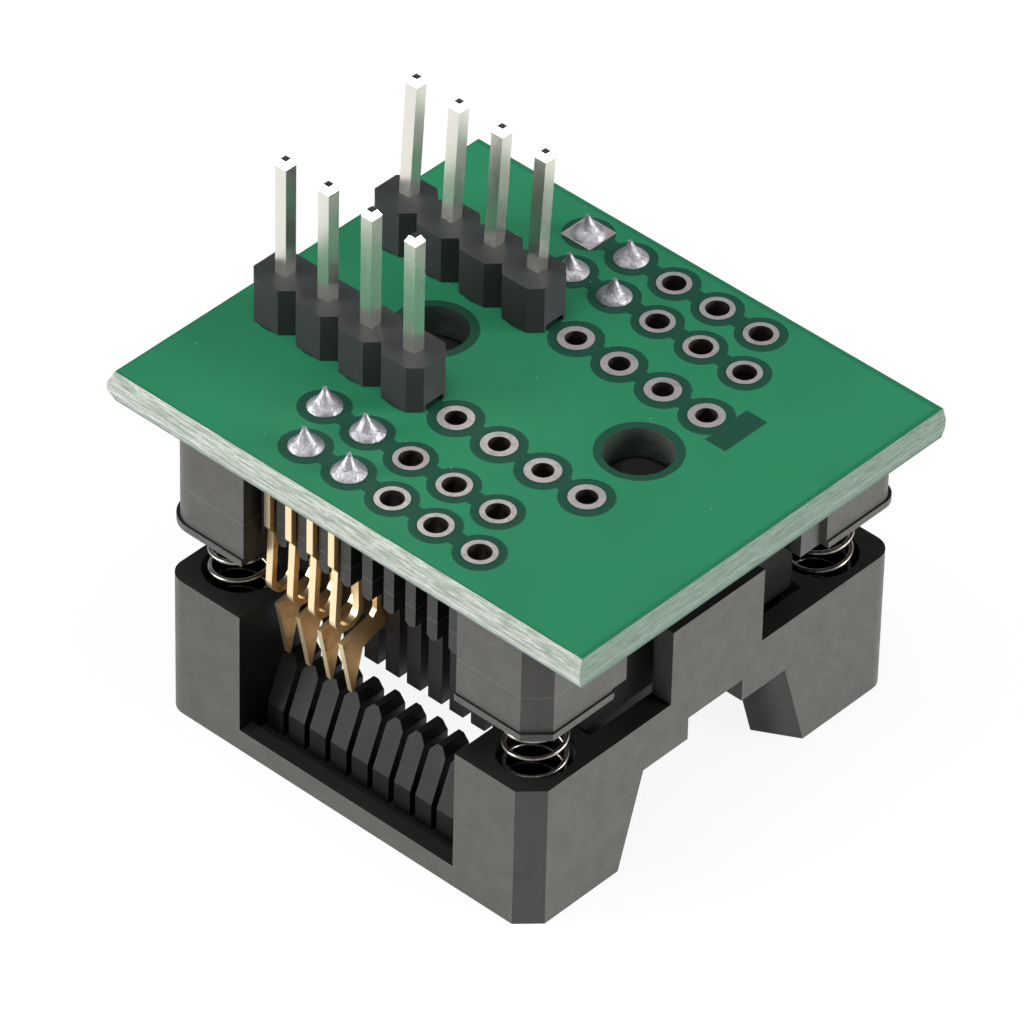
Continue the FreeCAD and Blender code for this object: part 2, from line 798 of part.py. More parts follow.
def base_additions():
    """What stands on the base's block: island, end bodies, ribs, board standoffs, spring stubs."""
    added = [
        box(
            "island",
            around("socket_x", "island_length / 2"),
            around("axis_y", "island_out"),
            (ISLAND_FOOT, BASE_TOP),
        )
    ]
    for end in (LEFT, RIGHT):
        added.append(
            box(
                f"end_body_{end}",
                beside("socket_x", end, "pocket_length / 2 + slide_clearance", "end_body_reach"),
                around("axis_y", "end_body_width / 2"),
                (f"{BLOCK_FOOT} - end_body_drop", BLOCK_FOOT),
            )
        )
    for side in (NEAR, FAR):
        for gap in range(len(POSITIONS) + 1):
            name = f"rib_{SIDE_NAMES[side]}_{gap}"
            x = position_x(gap - 0.5)
            y_pair = beside("axis_y", side, "island_out - strand_width", "rib_out")
            foot = f"{BLOCK_FOOT} + rib_lift"
            whole_width, toe_width = around(x, "rib_width / 2"), around(x, "rib_toe_width / 2")
            added.append(box(name, whole_width, y_pair, (f"{foot} + rib_toe_height", BASE_TOP)))
            toe_pair = (foot, f"{foot} + rib_toe_height")
            added.append(frustum(f"{name}_toe", toe_width, y_pair, whole_width, y_pair, toe_pair))
    for end, side in SPRING_CORNERS:
        x, y = along("socket_x", end, SPRING_X), along("axis_y", side, SPRING_Y)
        stub_pair = (f"{BLOCK_FOOT} - stub_length", f"{BLOCK_FOOT} + stub_length")
        added.append(cylinder(f"stub_{end}_{side}", x, y, stub_pair, "stub_diameter"))
        pad_pair = (f"{BASE_TOP} - stub_length", BOARD_UNDER)
        added.append(cylinder(f"standoff_{end}_{side}", x, y, pad_pair, "standoff_diameter"))
    return added


def base_slots():
    """What is cut through the island: contact slots, chip pocket and grooves for tails."""
    slots = [
        box(
            "chip_pocket",
            around("socket_x", "pocket_length / 2"),
            around("axis_y", "pocket_out"),
            (f"{ISLAND_FOOT} - {PAST}", SEAT),
        )
    ]
    for side, index in SOCKET_HOLES:
        name = f"slot_{SIDE_NAMES[side]}_{index}"
        x_pair = around(position_x(index), "slot_width / 2")
        low_slot = beside("axis_y", side, "pocket_out - slot_width", f"island_out + {PAST}")
        high_slot = beside("axis_y", side, "anchor_slot_out", f"island_out + {PAST}")
        slot_top = f"{BLOCK_FOOT} - slot_top_drop"
        slots.append(box(name, x_pair, low_slot, (f"{ISLAND_FOOT} - {PAST}", slot_top)))
        anchor_foot = f"{BLOCK_FOOT} + anchor_slot_lift"
        slots.append(box(f"{name}_anchor", x_pair, high_slot, (anchor_foot, f"{BOARD_UNDER} + {PAST}")))
    for side in (NEAR, FAR):
        slots.append(
            box(
                f"tail_groove_{SIDE_NAMES[side]}",
                (
                    f"socket_x - {BASE_LENGTH} / 2 - {PAST}",
                    f"{header_x(len(HEADER_PINS) - 1)} + tail_groove_end",
                ),
                around(header_y(side), "tail_groove_width / 2"),
                (f"{BASE_TOP} - tail_groove_depth", f"{BASE_TOP} + {PAST}"),
            )
        )
    return slots


def build_base():
    """The socket's moulded base, under the board."""
    rounds = ("base_left_round", "base_right_round")
    outline = moulded_outline(
        "base_outline", BASE_LENGTH, BASE_WIDTH, (BLOCK_FOOT, BASE_TOP), rounds, "base_corner_chamfer"
    )
    skirt = moulded_outline(
        "base_skirt",
        f"({BASE_LENGTH} + 2 * skirt_step)",
        f"({BASE_WIDTH} + 2 * skirt_step)",
        (BLOCK_FOOT, f"{BLOCK_FOOT} + skirt_height"),
        rounds,
        "base_corner_chamfer",
    )
    frame = cut("base_frame", fuse("base_block", [outline, skirt]), base_bays())
    grown = fuse("base_grown", [frame] + base_additions())
    slotted = cut("base_slotted", grown, base_slots())
    pegs = [
        cylinder(
            f"peg_{end}",
            peg_x(end),
            "axis_y",
            (f"{BASE_TOP} - tail_groove_depth", PEG_TOP),
            "peg_diameter",
        )
        for end in (LEFT, RIGHT)
    ]
    as_part(fuse("base_whole", [slotted] + pegs), "socket_base")


def cover_cams(side):
    """One side's row of cam ribs with gabled tops, sloping outwards to their feet."""
    ribs = []
    y_pair = beside("axis_y", side, "island_out + opening_clearance", "cam_foot_out")
    crown = "cam_height - cam_gable_rise"
    for index in POSITIONS:
        name = f"cam_{SIDE_NAMES[side]}_{index}"
        whole_width = around(position_x(index), "cam_width / 2")
        ridge = around(position_x(index), "cam_ridge_width / 2")
        ribs.append(box(name, whole_width, y_pair, ("window_floor / 2", crown)))
        gable_pair = (crown, "cam_height")
        ribs.append(frustum(f"{name}_gable", whole_width, y_pair, ridge, y_pair, gable_pair))
    row = fuse(f"cam_row_{SIDE_NAMES[side]}", ribs)
    slope_x = around("socket_x", "window_length / 2")
    slope = frustum(
        f"cam_slope_{SIDE_NAMES[side]}",
        slope_x,
        beside("axis_y", side, "cam_foot_out", f"cam_foot_out + {PAST}"),
        slope_x,
        beside("axis_y", side, "cam_shoulder_out", f"cam_foot_out + {PAST}"),
        ("cam_foot_height", "cam_height"),
    )
    return cut(f"cam_row_{SIDE_NAMES[side]}_sloped", row, [slope])


def notch_flare(end):
    """The flared mouth of the notch under one end bar, wide at the end face."""
    face = size("socket_x") + end * size("cover_length") / 2
    deep = face - end * size("notch_flare_depth")
    top = size("notch_height")
    widening = PAST * size("notch_flare") / size("notch_flare_depth")
    outlines = []
    for plane, narrowing in ((face + end * PAST, -widening), (deep, size("notch_flare"))):
        half_foot = size("notch_foot_width") / 2 - narrowing
        half_head = size("notch_head_width") / 2 - narrowing
        foot_spread = (half_foot - half_head) * PAST / top
        corners = [
            (-half_foot - foot_spread, -PAST),
            (half_foot + foot_spread, -PAST),
            (half_head, top),
            (-half_head, top),
        ]
        points = [FreeCAD.Vector(plane, y + size("axis_y"), z) for y, z in corners]
        outlines.append(Part.makePolygon(points + points[:1]))
    flare = doc.addObject("Part::Feature", f"notch_flare_{end}")
    flare.Shape = Part.makeLoft(outlines, True, True)
    return flare


def cover_openings():
    """What is cut through the cover: middle and end openings, windows, spring pockets, notches."""
    half_opening = "island_length / 2 + opening_clearance"
    out_opening = "island_out + opening_clearance"
    whole = (f"-{PAST}", f"{RIM} + {PAST}")
    tools = [box("opening", around("socket_x", half_opening), around("axis_y", out_opening), whole)]
    for side in (NEAR, FAR):
        tools.append(
            box(
                f"window_{SIDE_NAMES[side]}",
                around("socket_x", "window_length / 2"),
                beside("axis_y", side, out_opening, f"cover_width / 2 + {PAST}"),
                ("window_floor", whole[1]),
            )
        )
    for end, side in SPRING_CORNERS:
        tools.append(
            cylinder(
                f"spring_pocket_{end}_{side}",
                along("socket_x", end, SPRING_X),
                along("axis_y", side, SPRING_Y),
                (SPRING_FLOOR, whole[1]),
                "spring_pocket",
            )
        )
    walls = (("end_leg", (whole[0], "notch_height")), ("end_bar", ("notch_height", whole[1])))
    for end in (LEFT, RIGHT):
        for wall, z_pair in walls:
            reach = f"cover_length / 2 - {wall}_thickness"
            tools.append(
                box(
                    f"{wall}_opening_{end}",
                    beside("socket_x", end, f"{half_opening} - {PAST}", reach),
                    around("axis_y", "end_opening_width / 2"),
                    z_pair,
                )
            )
        inside = beside("socket_x", end, f"{half_opening} - {PAST}", f"cover_length / 2 + {PAST}")
        foot_half = "notch_foot_width / 2 - notch_flare"
        head_half = "notch_head_width / 2 - notch_flare"
        tools.append(
            frustum(
                f"notch_{end}",
                inside,
                around("axis_y", foot_half),
                inside,
                around("axis_y", head_half),
                ("0", "notch_height"),
            )
        )
        tools.append(
            box(
                f"bar_notch_{end}",
                inside,
                around("axis_y", "bar_notch_width / 2"),
                (f"-{PAST}", "bar_notch_height"),
            )
        )
        tools.append(notch_flare(end))
    return tools


def build_cover():
    """The sprung cover that the socket is pressed open with."""
    outline = moulded_outline(
        "cover_outline",
        "cover_length",
        "cover_width",
        ("0", RIM),
        ("cover_corner_round", "cover_corner_round"),
        "cover_corner_chamfer",
    )
    pieces = [cut("cover_frame", outline, cover_openings())]
    for side in (NEAR, FAR):
        pieces.append(cover_cams(side))
        pieces.append(
            box(
                f"sill_{SIDE_NAMES[side]}",
                around("socket_x", "window_length / 2"),
                beside("axis_y", side, "cover_width / 2 - sill_thickness", "cover_width / 2"),
                ("window_floor / 2", "sill_height"),
            )
        )
    for end in (LEFT, RIGHT):
        y_pair = around("axis_y", "tab_width / 2")
        inner = "cover_length / 2 - tab_thickness"
        root = f"{RIM} - tab_thickness"
        pieces.append(
            box(f"tab_{end}", beside("socket_x", end, inner, "cover_length / 2"), y_pair, (root, TAB_TOP))
        )
        pieces.append(
            box(
                f"hook_{end}",
                beside("socket_x", end, f"{inner} - hook_reach", inner),
                y_pair,
                (HOOK_FOOT, TAB_TOP),
            )
        )
    as_part(fuse("cover_whole", pieces), "cover")


def build_spring(end, side):
    """One return spring, from its pocket's floor to the base's block."""
    name = f"spring_{'left' if end == LEFT else 'right'}_{SIDE_NAMES[side]}"
    coil = doc.addObject("Part::Helix", f"{name}_line")
    coil.setExpression("Pitch", bound("spring_pitch"))
    coil.setExpression("Height", bound("spring_pocket_depth + press_gap - spring_wire - 2 * spring_end_gap"))
    coil.setExpression("Radius", bound("(spring_diameter - spring_wire) / 2"))
    coil.SegmentLength = 1
    wire = doc.addObject("Part::Circle", f"{name}_section")
    wire.Placement.Rotation = FreeCAD.Rotation(FreeCAD.Vector(1, 0, 0), 90)
    wire.setExpression("Radius", bound("spring_wire / 2"))
    wire.setExpression("Placement.Base.x", bound("(spring_diameter - spring_wire) / 2"))
    doc.recompute()
    sweep = doc.addObject("Part::Sweep", name)
    sweep.Sections = [wire]
    sweep.Spine = (coil, [f"Edge{turn}" for turn, _ in enumerate(coil.Shape.Edges, start=1)])
    sweep.Solid = True
    sweep.Frenet = True
    move_to(
        sweep,
        along("socket_x", end, SPRING_X),
        along("axis_y", side, SPRING_Y),
        f"{SPRING_FLOOR} + spring_end_gap + spring_wire / 2",
    )
    as_part(sweep, name)


def build_all():
    """Makes every sub-part, the ones that others are cut by first."""
    build_board()
    header_places = [(header_x(index), header_y(side)) for side in (NEAR, FAR) for index in HEADER_HOLES]
    build_plating("header_hole_rings", header_places, "header_bore", "header_ring")
    socket_places = [
        (position_x(index), along("axis_y", side, tail_out(side, index))) for side, index in SOCKET_HOLES
    ]
    square_place = (position_x(0), along("axis_y", FAR, tail_out(FAR, 0)))
    build_plating("socket_hole_rings", socket_places, "socket_bore", "socket_ring", square_place)
    for side in (NEAR, FAR):
        for index, pin in enumerate(build_header(side)):
            build_header_solder(side, index, pin)
    build_base()
    build_cover()
    for (side, index), stem in build_contacts().items():
        build_contact_solder(side, index, stem)
    for end, side in SPRING_CORNERS:
        build_spring(end, side)


def check_and_write():
    """Refuses a failed object or an empty or invalid shape, then writes each sub-part."""
    doc.recompute()
    for item in doc.Objects:
        if {"Invalid", "Error"} & set(item.State):
            raise RuntimeError(f"{item.Name} ({item.Label}) has failed: {item.State}")
    for piece in kept:
        if piece.Shape.isNull() or not piece.Shape.isValid() or not piece.Shape.Solids:
            raise RuntimeError(f"{piece.Label} has no valid solid")
    os.makedirs("parts", exist_ok=True)
    for piece in kept:
        piece.Shape.exportStep(f"parts/{piece.Label}.step")
        print(piece.Label, len(piece.Shape.Solids), round(piece.Shape.Volume, 3))


build_all()
check_and_write()
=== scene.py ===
"""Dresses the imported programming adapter: board, headers, solder, sprung socket and studio.

Every length is in metres unless a name says millimetres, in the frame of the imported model:
+X along the rows of contacts, +Y away from the near row, +Z up, with the origin under the
middle of the adapter on the surface that it rests on.
"""

import logging
import math
import random
from dataclasses import dataclass, field
from enum import Enum

import bmesh
import bpy
from mathutils import Matrix, Quaternion, Vector


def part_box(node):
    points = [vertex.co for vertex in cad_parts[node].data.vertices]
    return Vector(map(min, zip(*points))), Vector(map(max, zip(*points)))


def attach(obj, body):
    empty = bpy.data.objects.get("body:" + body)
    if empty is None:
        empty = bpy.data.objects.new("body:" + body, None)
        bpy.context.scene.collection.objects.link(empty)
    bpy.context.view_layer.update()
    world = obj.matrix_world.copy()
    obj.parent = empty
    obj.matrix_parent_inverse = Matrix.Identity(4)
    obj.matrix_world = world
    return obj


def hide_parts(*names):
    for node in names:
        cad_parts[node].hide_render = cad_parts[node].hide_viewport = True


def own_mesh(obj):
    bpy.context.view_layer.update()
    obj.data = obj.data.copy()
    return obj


LOG = logging.getLogger("adapter")
MM = 0.001
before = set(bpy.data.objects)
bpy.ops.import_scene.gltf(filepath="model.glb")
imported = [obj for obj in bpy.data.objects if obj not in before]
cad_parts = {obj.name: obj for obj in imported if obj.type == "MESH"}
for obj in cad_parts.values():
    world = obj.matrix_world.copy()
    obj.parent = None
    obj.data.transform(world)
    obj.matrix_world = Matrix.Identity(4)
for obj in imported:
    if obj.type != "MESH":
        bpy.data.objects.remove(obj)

Point = tuple[float, float]
Triple = tuple[float, float, float]
Colour = tuple[float, float, float, float]


class Side(Enum):
    """The two rows of contacts, with the way that each faces along Y."""

    NEAR = -1
    FAR = 1

    @property
    def word(self) -> str:
        """The side's name within the names of nodes."""
        return self.name.lower()


class Slot(Enum):
    """Names of the record's material slots; nothing in this script uses them."""

    SOLDER = "solder"
    BASE = "base_plastic"
    SPRING = "spring_steel"


def middle(node: str) -> Vector:
    """The centre of a CAD node's box."""
    low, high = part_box(node)
    return (low + high) / 2


def srgb(red: int, green: int, blue: int) -> Colour:
    """A colour as a screen shows it, turned into the renderer's linear values.

    Args:
        red: Red from 0 to 255.
        green: Green from 0 to 255.
        blue: Blue from 0 to 255.

    Returns:
        Linear red, green, blue and full alpha.
    """
    shares = [value / 255 for value in (red, green, blue)]
    linear = [s / 12.92 if s <= 0.04045 else ((s + 0.055) / 1.055) ** 2.4 for s in shares]
    return (linear[0], linear[1], linear[2], 1.0)


class Wiring:
    """A material's nodes, written as expressions on sockets."""

    def __init__(self, name: str) -> None:
        """Makes the material with its shader and a position in millimetres.

        Args:
            name: The material's name.
        """
        self.material = bpy.data.materials.new(name)
        self.material.use_nodes = True
        self.tree = self.material.node_tree
        self.shader = self.tree.nodes["Principled BSDF"]
        place = self.tree.nodes.new("ShaderNodeTexCoord")
        scaled = self.tree.nodes.new("ShaderNodeVectorMath")
        scaled.operation = "SCALE"
        scaled.inputs["Scale"].default_value = 1 / MM
        self.tree.links.new(place.outputs["Object"], scaled.inputs[0])
        self.place = scaled.outputs[0]

    def feed(self, socket: bpy.types.NodeSocket, source: object) -> None:
        """Links a source into a socket, or sets the socket to a plain value.

        Args:
            socket: The input to feed.
            source: An output socket, a number or a colour.
        """
        if isinstance(source, bpy.types.NodeSocket):
            self.tree.links.new(source, socket)
        else:
            socket.default_value = source

    def math(
        self, operation: str, first: object, second: object = 0.0, clamp: bool = False
    ) -> object:
        """The result of one arithmetic step.

        Args:
            operation: The step's name, as the node spells it.
            first: The first number or socket.
            second: The second number or socket.
            clamp: Whether the result is kept from 0 to 1.

        Returns:
            The output socket.
        """
        step = self.tree.nodes.new("ShaderNodeMath")
        step.operation = operation
        step.use_clamp = clamp
        self.feed(step.inputs[0], first)
        self.feed(step.inputs[1], second)
        return step.outputs[0]

    def axes(self, vector: object = None) -> tuple[object, object, object]:
        """The three numbers of a vector, or of the position in millimetres."""
        split = self.tree.nodes.new("ShaderNodeSeparateXYZ")
        self.tree.links.new(vector or self.place, split.inputs[0])
        return tuple(split.outputs)

    def normal(self) -> tuple[object, object, object]:
        """The three parts of the surface's own direction."""
        surface = self.tree.nodes.new("ShaderNodeNewGeometry")
        return self.axes(surface.outputs["Normal"])

    def stretched(self, x: float, y: float, z: float) -> object:
        """The position in millimetres, scaled along each axis."""
        scaled = self.tree.nodes.new("ShaderNodeVectorMath")
        scaled.operation = "MULTIPLY"
        self.tree.links.new(self.place, scaled.inputs[0])
        scaled.inputs[1].default_value = (x, y, z)
        return scaled.outputs[0]

    def noise(
        self, scale: float, detail: float = 2.0, rough: float = 0.5, vector: object = None
    ) -> object:
        """A cloudy number around a half.

        Args:
            scale: Lumps for each millimetre.
            detail: How many finer layers are added.
            rough: How strong the finer layers are.
            vector: The position to use, or None for the one in millimetres.

        Returns:
            The output socket.
        """
        cloud = self.tree.nodes.new("ShaderNodeTexNoise")
        cloud.inputs["Scale"].default_value = scale
        cloud.inputs["Detail"].default_value = detail
        cloud.inputs["Roughness"].default_value = rough
        self.tree.links.new(vector or self.place, cloud.inputs["Vector"])
        return cloud.outputs[0]

    def specks(self, scale: float, vector: object = None) -> object:
        """The distance to the nearest of many scattered points."""
        cells = self.tree.nodes.new("ShaderNodeTexVoronoi")
        cells.inputs["Scale"].default_value = scale
        self.tree.links.new(vector or self.place, cells.inputs["Vector"])
        return cells.outputs["Distance"]

    def spread(
        self, source: object, low: float, high: float, start: float = 0.0, end: float = 1.0
    ) -> object:
        """A number mapped from one range to another and kept within it.

        Args:
            source: The socket to map.
            low: Where the first range starts.
            high: Where the first range ends.
            start: What its start becomes.
            end: What its end becomes.

        Returns:
            The output socket.
        """
        ranged = self.tree.nodes.new("ShaderNodeMapRange")
        ranged.interpolation_type = "SMOOTHSTEP"
        for index, number in enumerate((low, high, start, end), start=1):
            ranged.inputs[index].default_value = number
        self.feed(ranged.inputs[0], source)
        return ranged.outputs[0]

    def blend(self, share: object, first: object, second: object) -> object:
        """A colour between two others.

        Args:
            share: How much of the second colour there is.
            first: The first colour or socket.
            second: The second colour or socket.

        Returns:
            The output socket.
        """
        mixer = self.tree.nodes.new("ShaderNodeMix")
        mixer.data_type = "RGBA"
        self.feed(mixer.inputs["Factor"], share)
        self.feed(mixer.inputs[6], first)
        self.feed(mixer.inputs[7], second)
        return mixer.outputs[2]

    def bump(self, height: object, depth: float, below: object = None) -> object:
        """Adds relief to the surface.

        Args:
            height: The relief, from 0 to 1.
            depth: Its full depth.
            below: An earlier relief that this one lies on.

        Returns:
            The output socket.
        """
        relief = self.tree.nodes.new("ShaderNodeBump")
        relief.inputs["Distance"].default_value = depth
        self.feed(relief.inputs["Height"], height)
        if below is not None:
            self.tree.links.new(below, relief.inputs["Normal"])
        self.tree.links.new(relief.outputs[0], self.shader.inputs["Normal"])
        return relief.outputs[0]

    def set(self, **sources: object) -> None:
        """Feeds the shader's inputs, named in lower case with underscores for spaces."""
        names = {socket.name.lower().replace(" ", "_"): socket for socket in self.shader.inputs}
        for name, source in sources.items():
            self.feed(names[name], source)


@dataclass(frozen=True)
class MouldedPlastic:
    """Black filled plastic as it leaves the mould, with pale filler in its skin and a painted
    sheen: outer upright faces painted paler, tops and inner faces painted darker as shade.

    Attributes:
        name: The finish's name.
        dark: The colour of the resin.
        pale: The colour of the filler that shows at the skin, and of the painted sheen.
        mottle: How much of the pale colour the patches take.
        roughness: The mean roughness.
        grain: Lumps of relief for each millimetre.
        relief: The relief's depth.
        parting_level: The level of the mould's parting line, in millimetres, or below the floor.
        middle: The moulding's middle in plan, in millimetres.
        half: Half of its length and width, in millimetres, or None for pale filler evenly on every
            face, with no painted sheen.
        gloss: How strongly the skin shines, against a half for plain plastic.
        top_bloom: How much of the painted sheen level faces have, so that tops are painted darker
            as shade.
        inner_bloom: How much of it inner faces have along X and Y, so that they are painted darker
            as shade.
        bloom_gain: What the painted sheen's share on upright faces is multiplied by.
        bloom_start: How far in from the outside the painted sheen starts, in millimetres.
        bloom_full: How far in from the outside it is full, in millimetres.
        mean_share: The pale colour's share before flecks and clouds.
        fleck_share: What flecks add to it.
        cloud_share: What clouds add to it.
        crack_share: How dark the fine cracks are.
        parting_share: How pale the parting line is.
    """

    name: str
    dark: Colour
    pale: Colour
    mottle: float
    roughness: float
    grain: float
    relief: float
    parting_level: float = -10.0
    middle: Point = (0.0, 0.0)
    half: Point | None = None
    gloss: float = 0.2
    top_bloom: float = 0.1
    inner_bloom: Point = (0.0, 0.1)
    bloom_gain: float = 1.3
    bloom_start: float = 1.7
    bloom_full: float = 0.4
    mean_share: float = 0.48
    fleck_share: float = 0.18
    cloud_share: float = 0.06
    crack_share: float = 0.75
    parting_share: float = 0.15

    def bloom(self, wiring: Wiring) -> object:
        """How much painted sheen a place has: most on outer upright faces, little within and on
        top, as painted shade.

        Args:
            wiring: The material's nodes.

        Returns:
            The share's socket.
        """
        facing = [wiring.math("ABSOLUTE", part) for part in wiring.normal()]
        outward = []
        for place, centre, reach in zip(wiring.axes(), self.middle, self.half):
            from_middle = wiring.math("ABSOLUTE", wiring.math("SUBTRACT", place, centre))
            outward.append(
                wiring.spread(from_middle, reach - self.bloom_start, reach - self.bloom_full)
            )
        outward[1] = wiring.math("MAXIMUM", *outward)
        shares = [wiring.math("MULTIPLY", facing[2], self.top_bloom)]
        for axis, least in enumerate(self.inner_bloom):
            outside = wiring.math("MAXIMUM", outward[axis], least)
            square = wiring.math("MULTIPLY", facing[axis], facing[axis])
            share = wiring.math("MULTIPLY", square, outside)
            shares.append(wiring.math("MULTIPLY", share, self.bloom_gain, clamp=True))
        return wiring.math("MAXIMUM", shares[0], wiring.math("MAXIMUM", shares[1], shares[2]))

    def material(self) -> bpy.types.Material:
        """Builds the finish."""
        wiring = Wiring(self.name)
        patches = wiring.noise(0.9, 5, 0.6)
        flecks = wiring.noise(13.0, 4, 0.75)
        cracks = wiring.noise(5.0, 6, 0.8, wiring.stretched(1.6, 1.6, 0.7))
        added = wiring.math(
            "ADD",
            wiring.spread(flecks, 0.4, 0.68, 0.0, self.fleck_share),
            wiring.spread(patches, 0.35, 0.68, 0.0, self.cloud_share),
        )
        share = wiring.math("ADD", added, self.mean_share)
        share = wiring.math("MULTIPLY", share, self.mottle, clamp=True)
        # The pale share follows the painted sheen: paler on outer upright faces, darker on tops and
        # inner faces as painted shade.
        if self.half:
            share = wiring.math("MULTIPLY", share, self.bloom(wiring))
        skin_colour = wiring.blend(share, self.dark, self.pale)
        from_vein = wiring.math("ABSOLUTE", wiring.math("SUBTRACT", cracks, 0.5))
        crack = wiring.spread(from_vein, 0.0, 0.012, self.crack_share, 0.0)
        crack = wiring.math("MULTIPLY", crack, self.mottle)
        skin_colour = wiring.blend(crack, skin_colour, self.dark)
        height = wiring.axes()[2]
        from_line = wiring.math("ABSOLUTE", wiring.math("SUBTRACT", height, self.parting_level))
        parting = wiring.spread(from_line, 0.02, 0.05, 1.0, 0.0)
        skin_colour = wiring.blend(
            wiring.math("MULTIPLY", parting, self.parting_share), skin_colour, self.pale
        )
        wiring.set(
            base_color=skin_colour,
            roughness=wiring.spread(
                patches, 0.3, 0.7, self.roughness + 0.05, self.roughness - 0.05
            ),
            ior=1.52,
            specular_ior_level=self.gloss,
        )
        skin = wiring.bump(wiring.noise(self.grain, 4, 0.7), self.relief)
        wiring.bump(parting, self.relief, skin)
        return wiring.material


@dataclass(frozen=True)
class BrightMetal:
    """Plated or drawn metal with fine lines along one axis.

    Attributes:
        name: The finish's name.
        colour: The metal's own colour.
        tarnish: The colour of its duller patches.
        roughness: The mean roughness.
        lines: How the relief is stretched along each axis.
        relief: The relief's depth.
        wall: The colour painted on upright faces as painted light, or None where they are like the
            others.
        wear: How much the roughness varies from patch to patch.
    """

    name: str
    colour: Colour
    tarnish: Colour
    roughness: float
    lines: Triple
    relief: float
    wall: Colour | None = None
    wear: float = 1.0

    def material(self) -> bpy.types.Material:
        """Builds the finish."""
        wiring = Wiring(self.name)
        patches = wiring.noise(2.2, 4, 0.6)
        drawn = wiring.noise(1.0, 3, 0.6, wiring.stretched(*self.lines))
        colour = wiring.blend(wiring.spread(patches, 0.42, 0.72), self.colour, self.tarnish)
        # Upright faces take another colour as painted light: painted shade on the rings' hole
        # walls, a painted sheen on the pins' sides.
        if self.wall:
            level = wiring.spread(wiring.math("ABSOLUTE", wiring.normal()[2]), 0.3, 0.7)
            colour = wiring.blend(level, self.wall, colour)
        smooth, rough = self.roughness - 0.05 * self.wear, self.roughness + 0.09 * self.wear
        wiring.set(
            base_color=colour,
            metallic=1.0,
            roughness=wiring.spread(patches, 0.3, 0.7, smooth, rough),
        )
        wiring.bump(drawn, self.relief)
        return wiring.material


@dataclass(frozen=True)
class SheetGold:
    """Gold-flashed sheet: tan rolled faces, bright cream sheared edges, the cream partly their
    finish and partly a painted highlight.

    Attributes:
        name: The finish's name.
        edge: The sheared edges' colour, partly their finish and partly a painted highlight.
        face: The rolled faces' colour.
        stain: The colour of their duller patches.
        edge_roughness: The sheared edges' roughness.
        face_roughness: The rolled faces' roughness.
    """

    name: str = "gold_flashed_sheet"
    edge: Colour = srgb(255, 234, 190)
    face: Colour = srgb(226, 184, 126)
    stain: Colour = srgb(176, 132, 82)
    edge_roughness: float = 0.36
    face_roughness: float = 0.5

    def material(self) -> bpy.types.Material:
        """Builds the finish."""
        wiring = Wiring(self.name)
        # Faces along X get the tan, all other faces the cream, partly a painted highlight.
        rolled = wiring.spread(wiring.math("ABSOLUTE", wiring.normal()[0]), 0.75, 0.97)
        stains = wiring.spread(wiring.noise(1.1, 4, 0.6), 0.48, 0.75)
        face = wiring.blend(stains, self.face, self.stain)
        shear = wiring.noise(1.0, 2, 0.5, wiring.stretched(14, 2, 2))
        wiring.set(
            base_color=wiring.blend(rolled, self.edge, face),
            metallic=1.0,
            roughness=wiring.spread(
                rolled, 0.0, 1.0, self.edge_roughness, self.face_roughness
            ),
        )
        wiring.bump(shear, 0.004 * MM)
        return wiring.material


@dataclass(frozen=True)
class HoleRow:
    """Holes at an even pitch along X, as the board's copper goes round them.

    Attributes:
        first_x: The first hole's place, in millimetres.
        row_y: The row's place, in millimetres.
        pitch: The distance between holes, in millimetres.
        count: How many holes there are.
        radius: The radius of the bare round round each hole, in millimetres.
        neck: The half width of the bare strip that joins them, in millimetres.
    """

    first_x: float
    row_y: float
    pitch: float
    count: int
    radius: float
    neck: float = 0.0


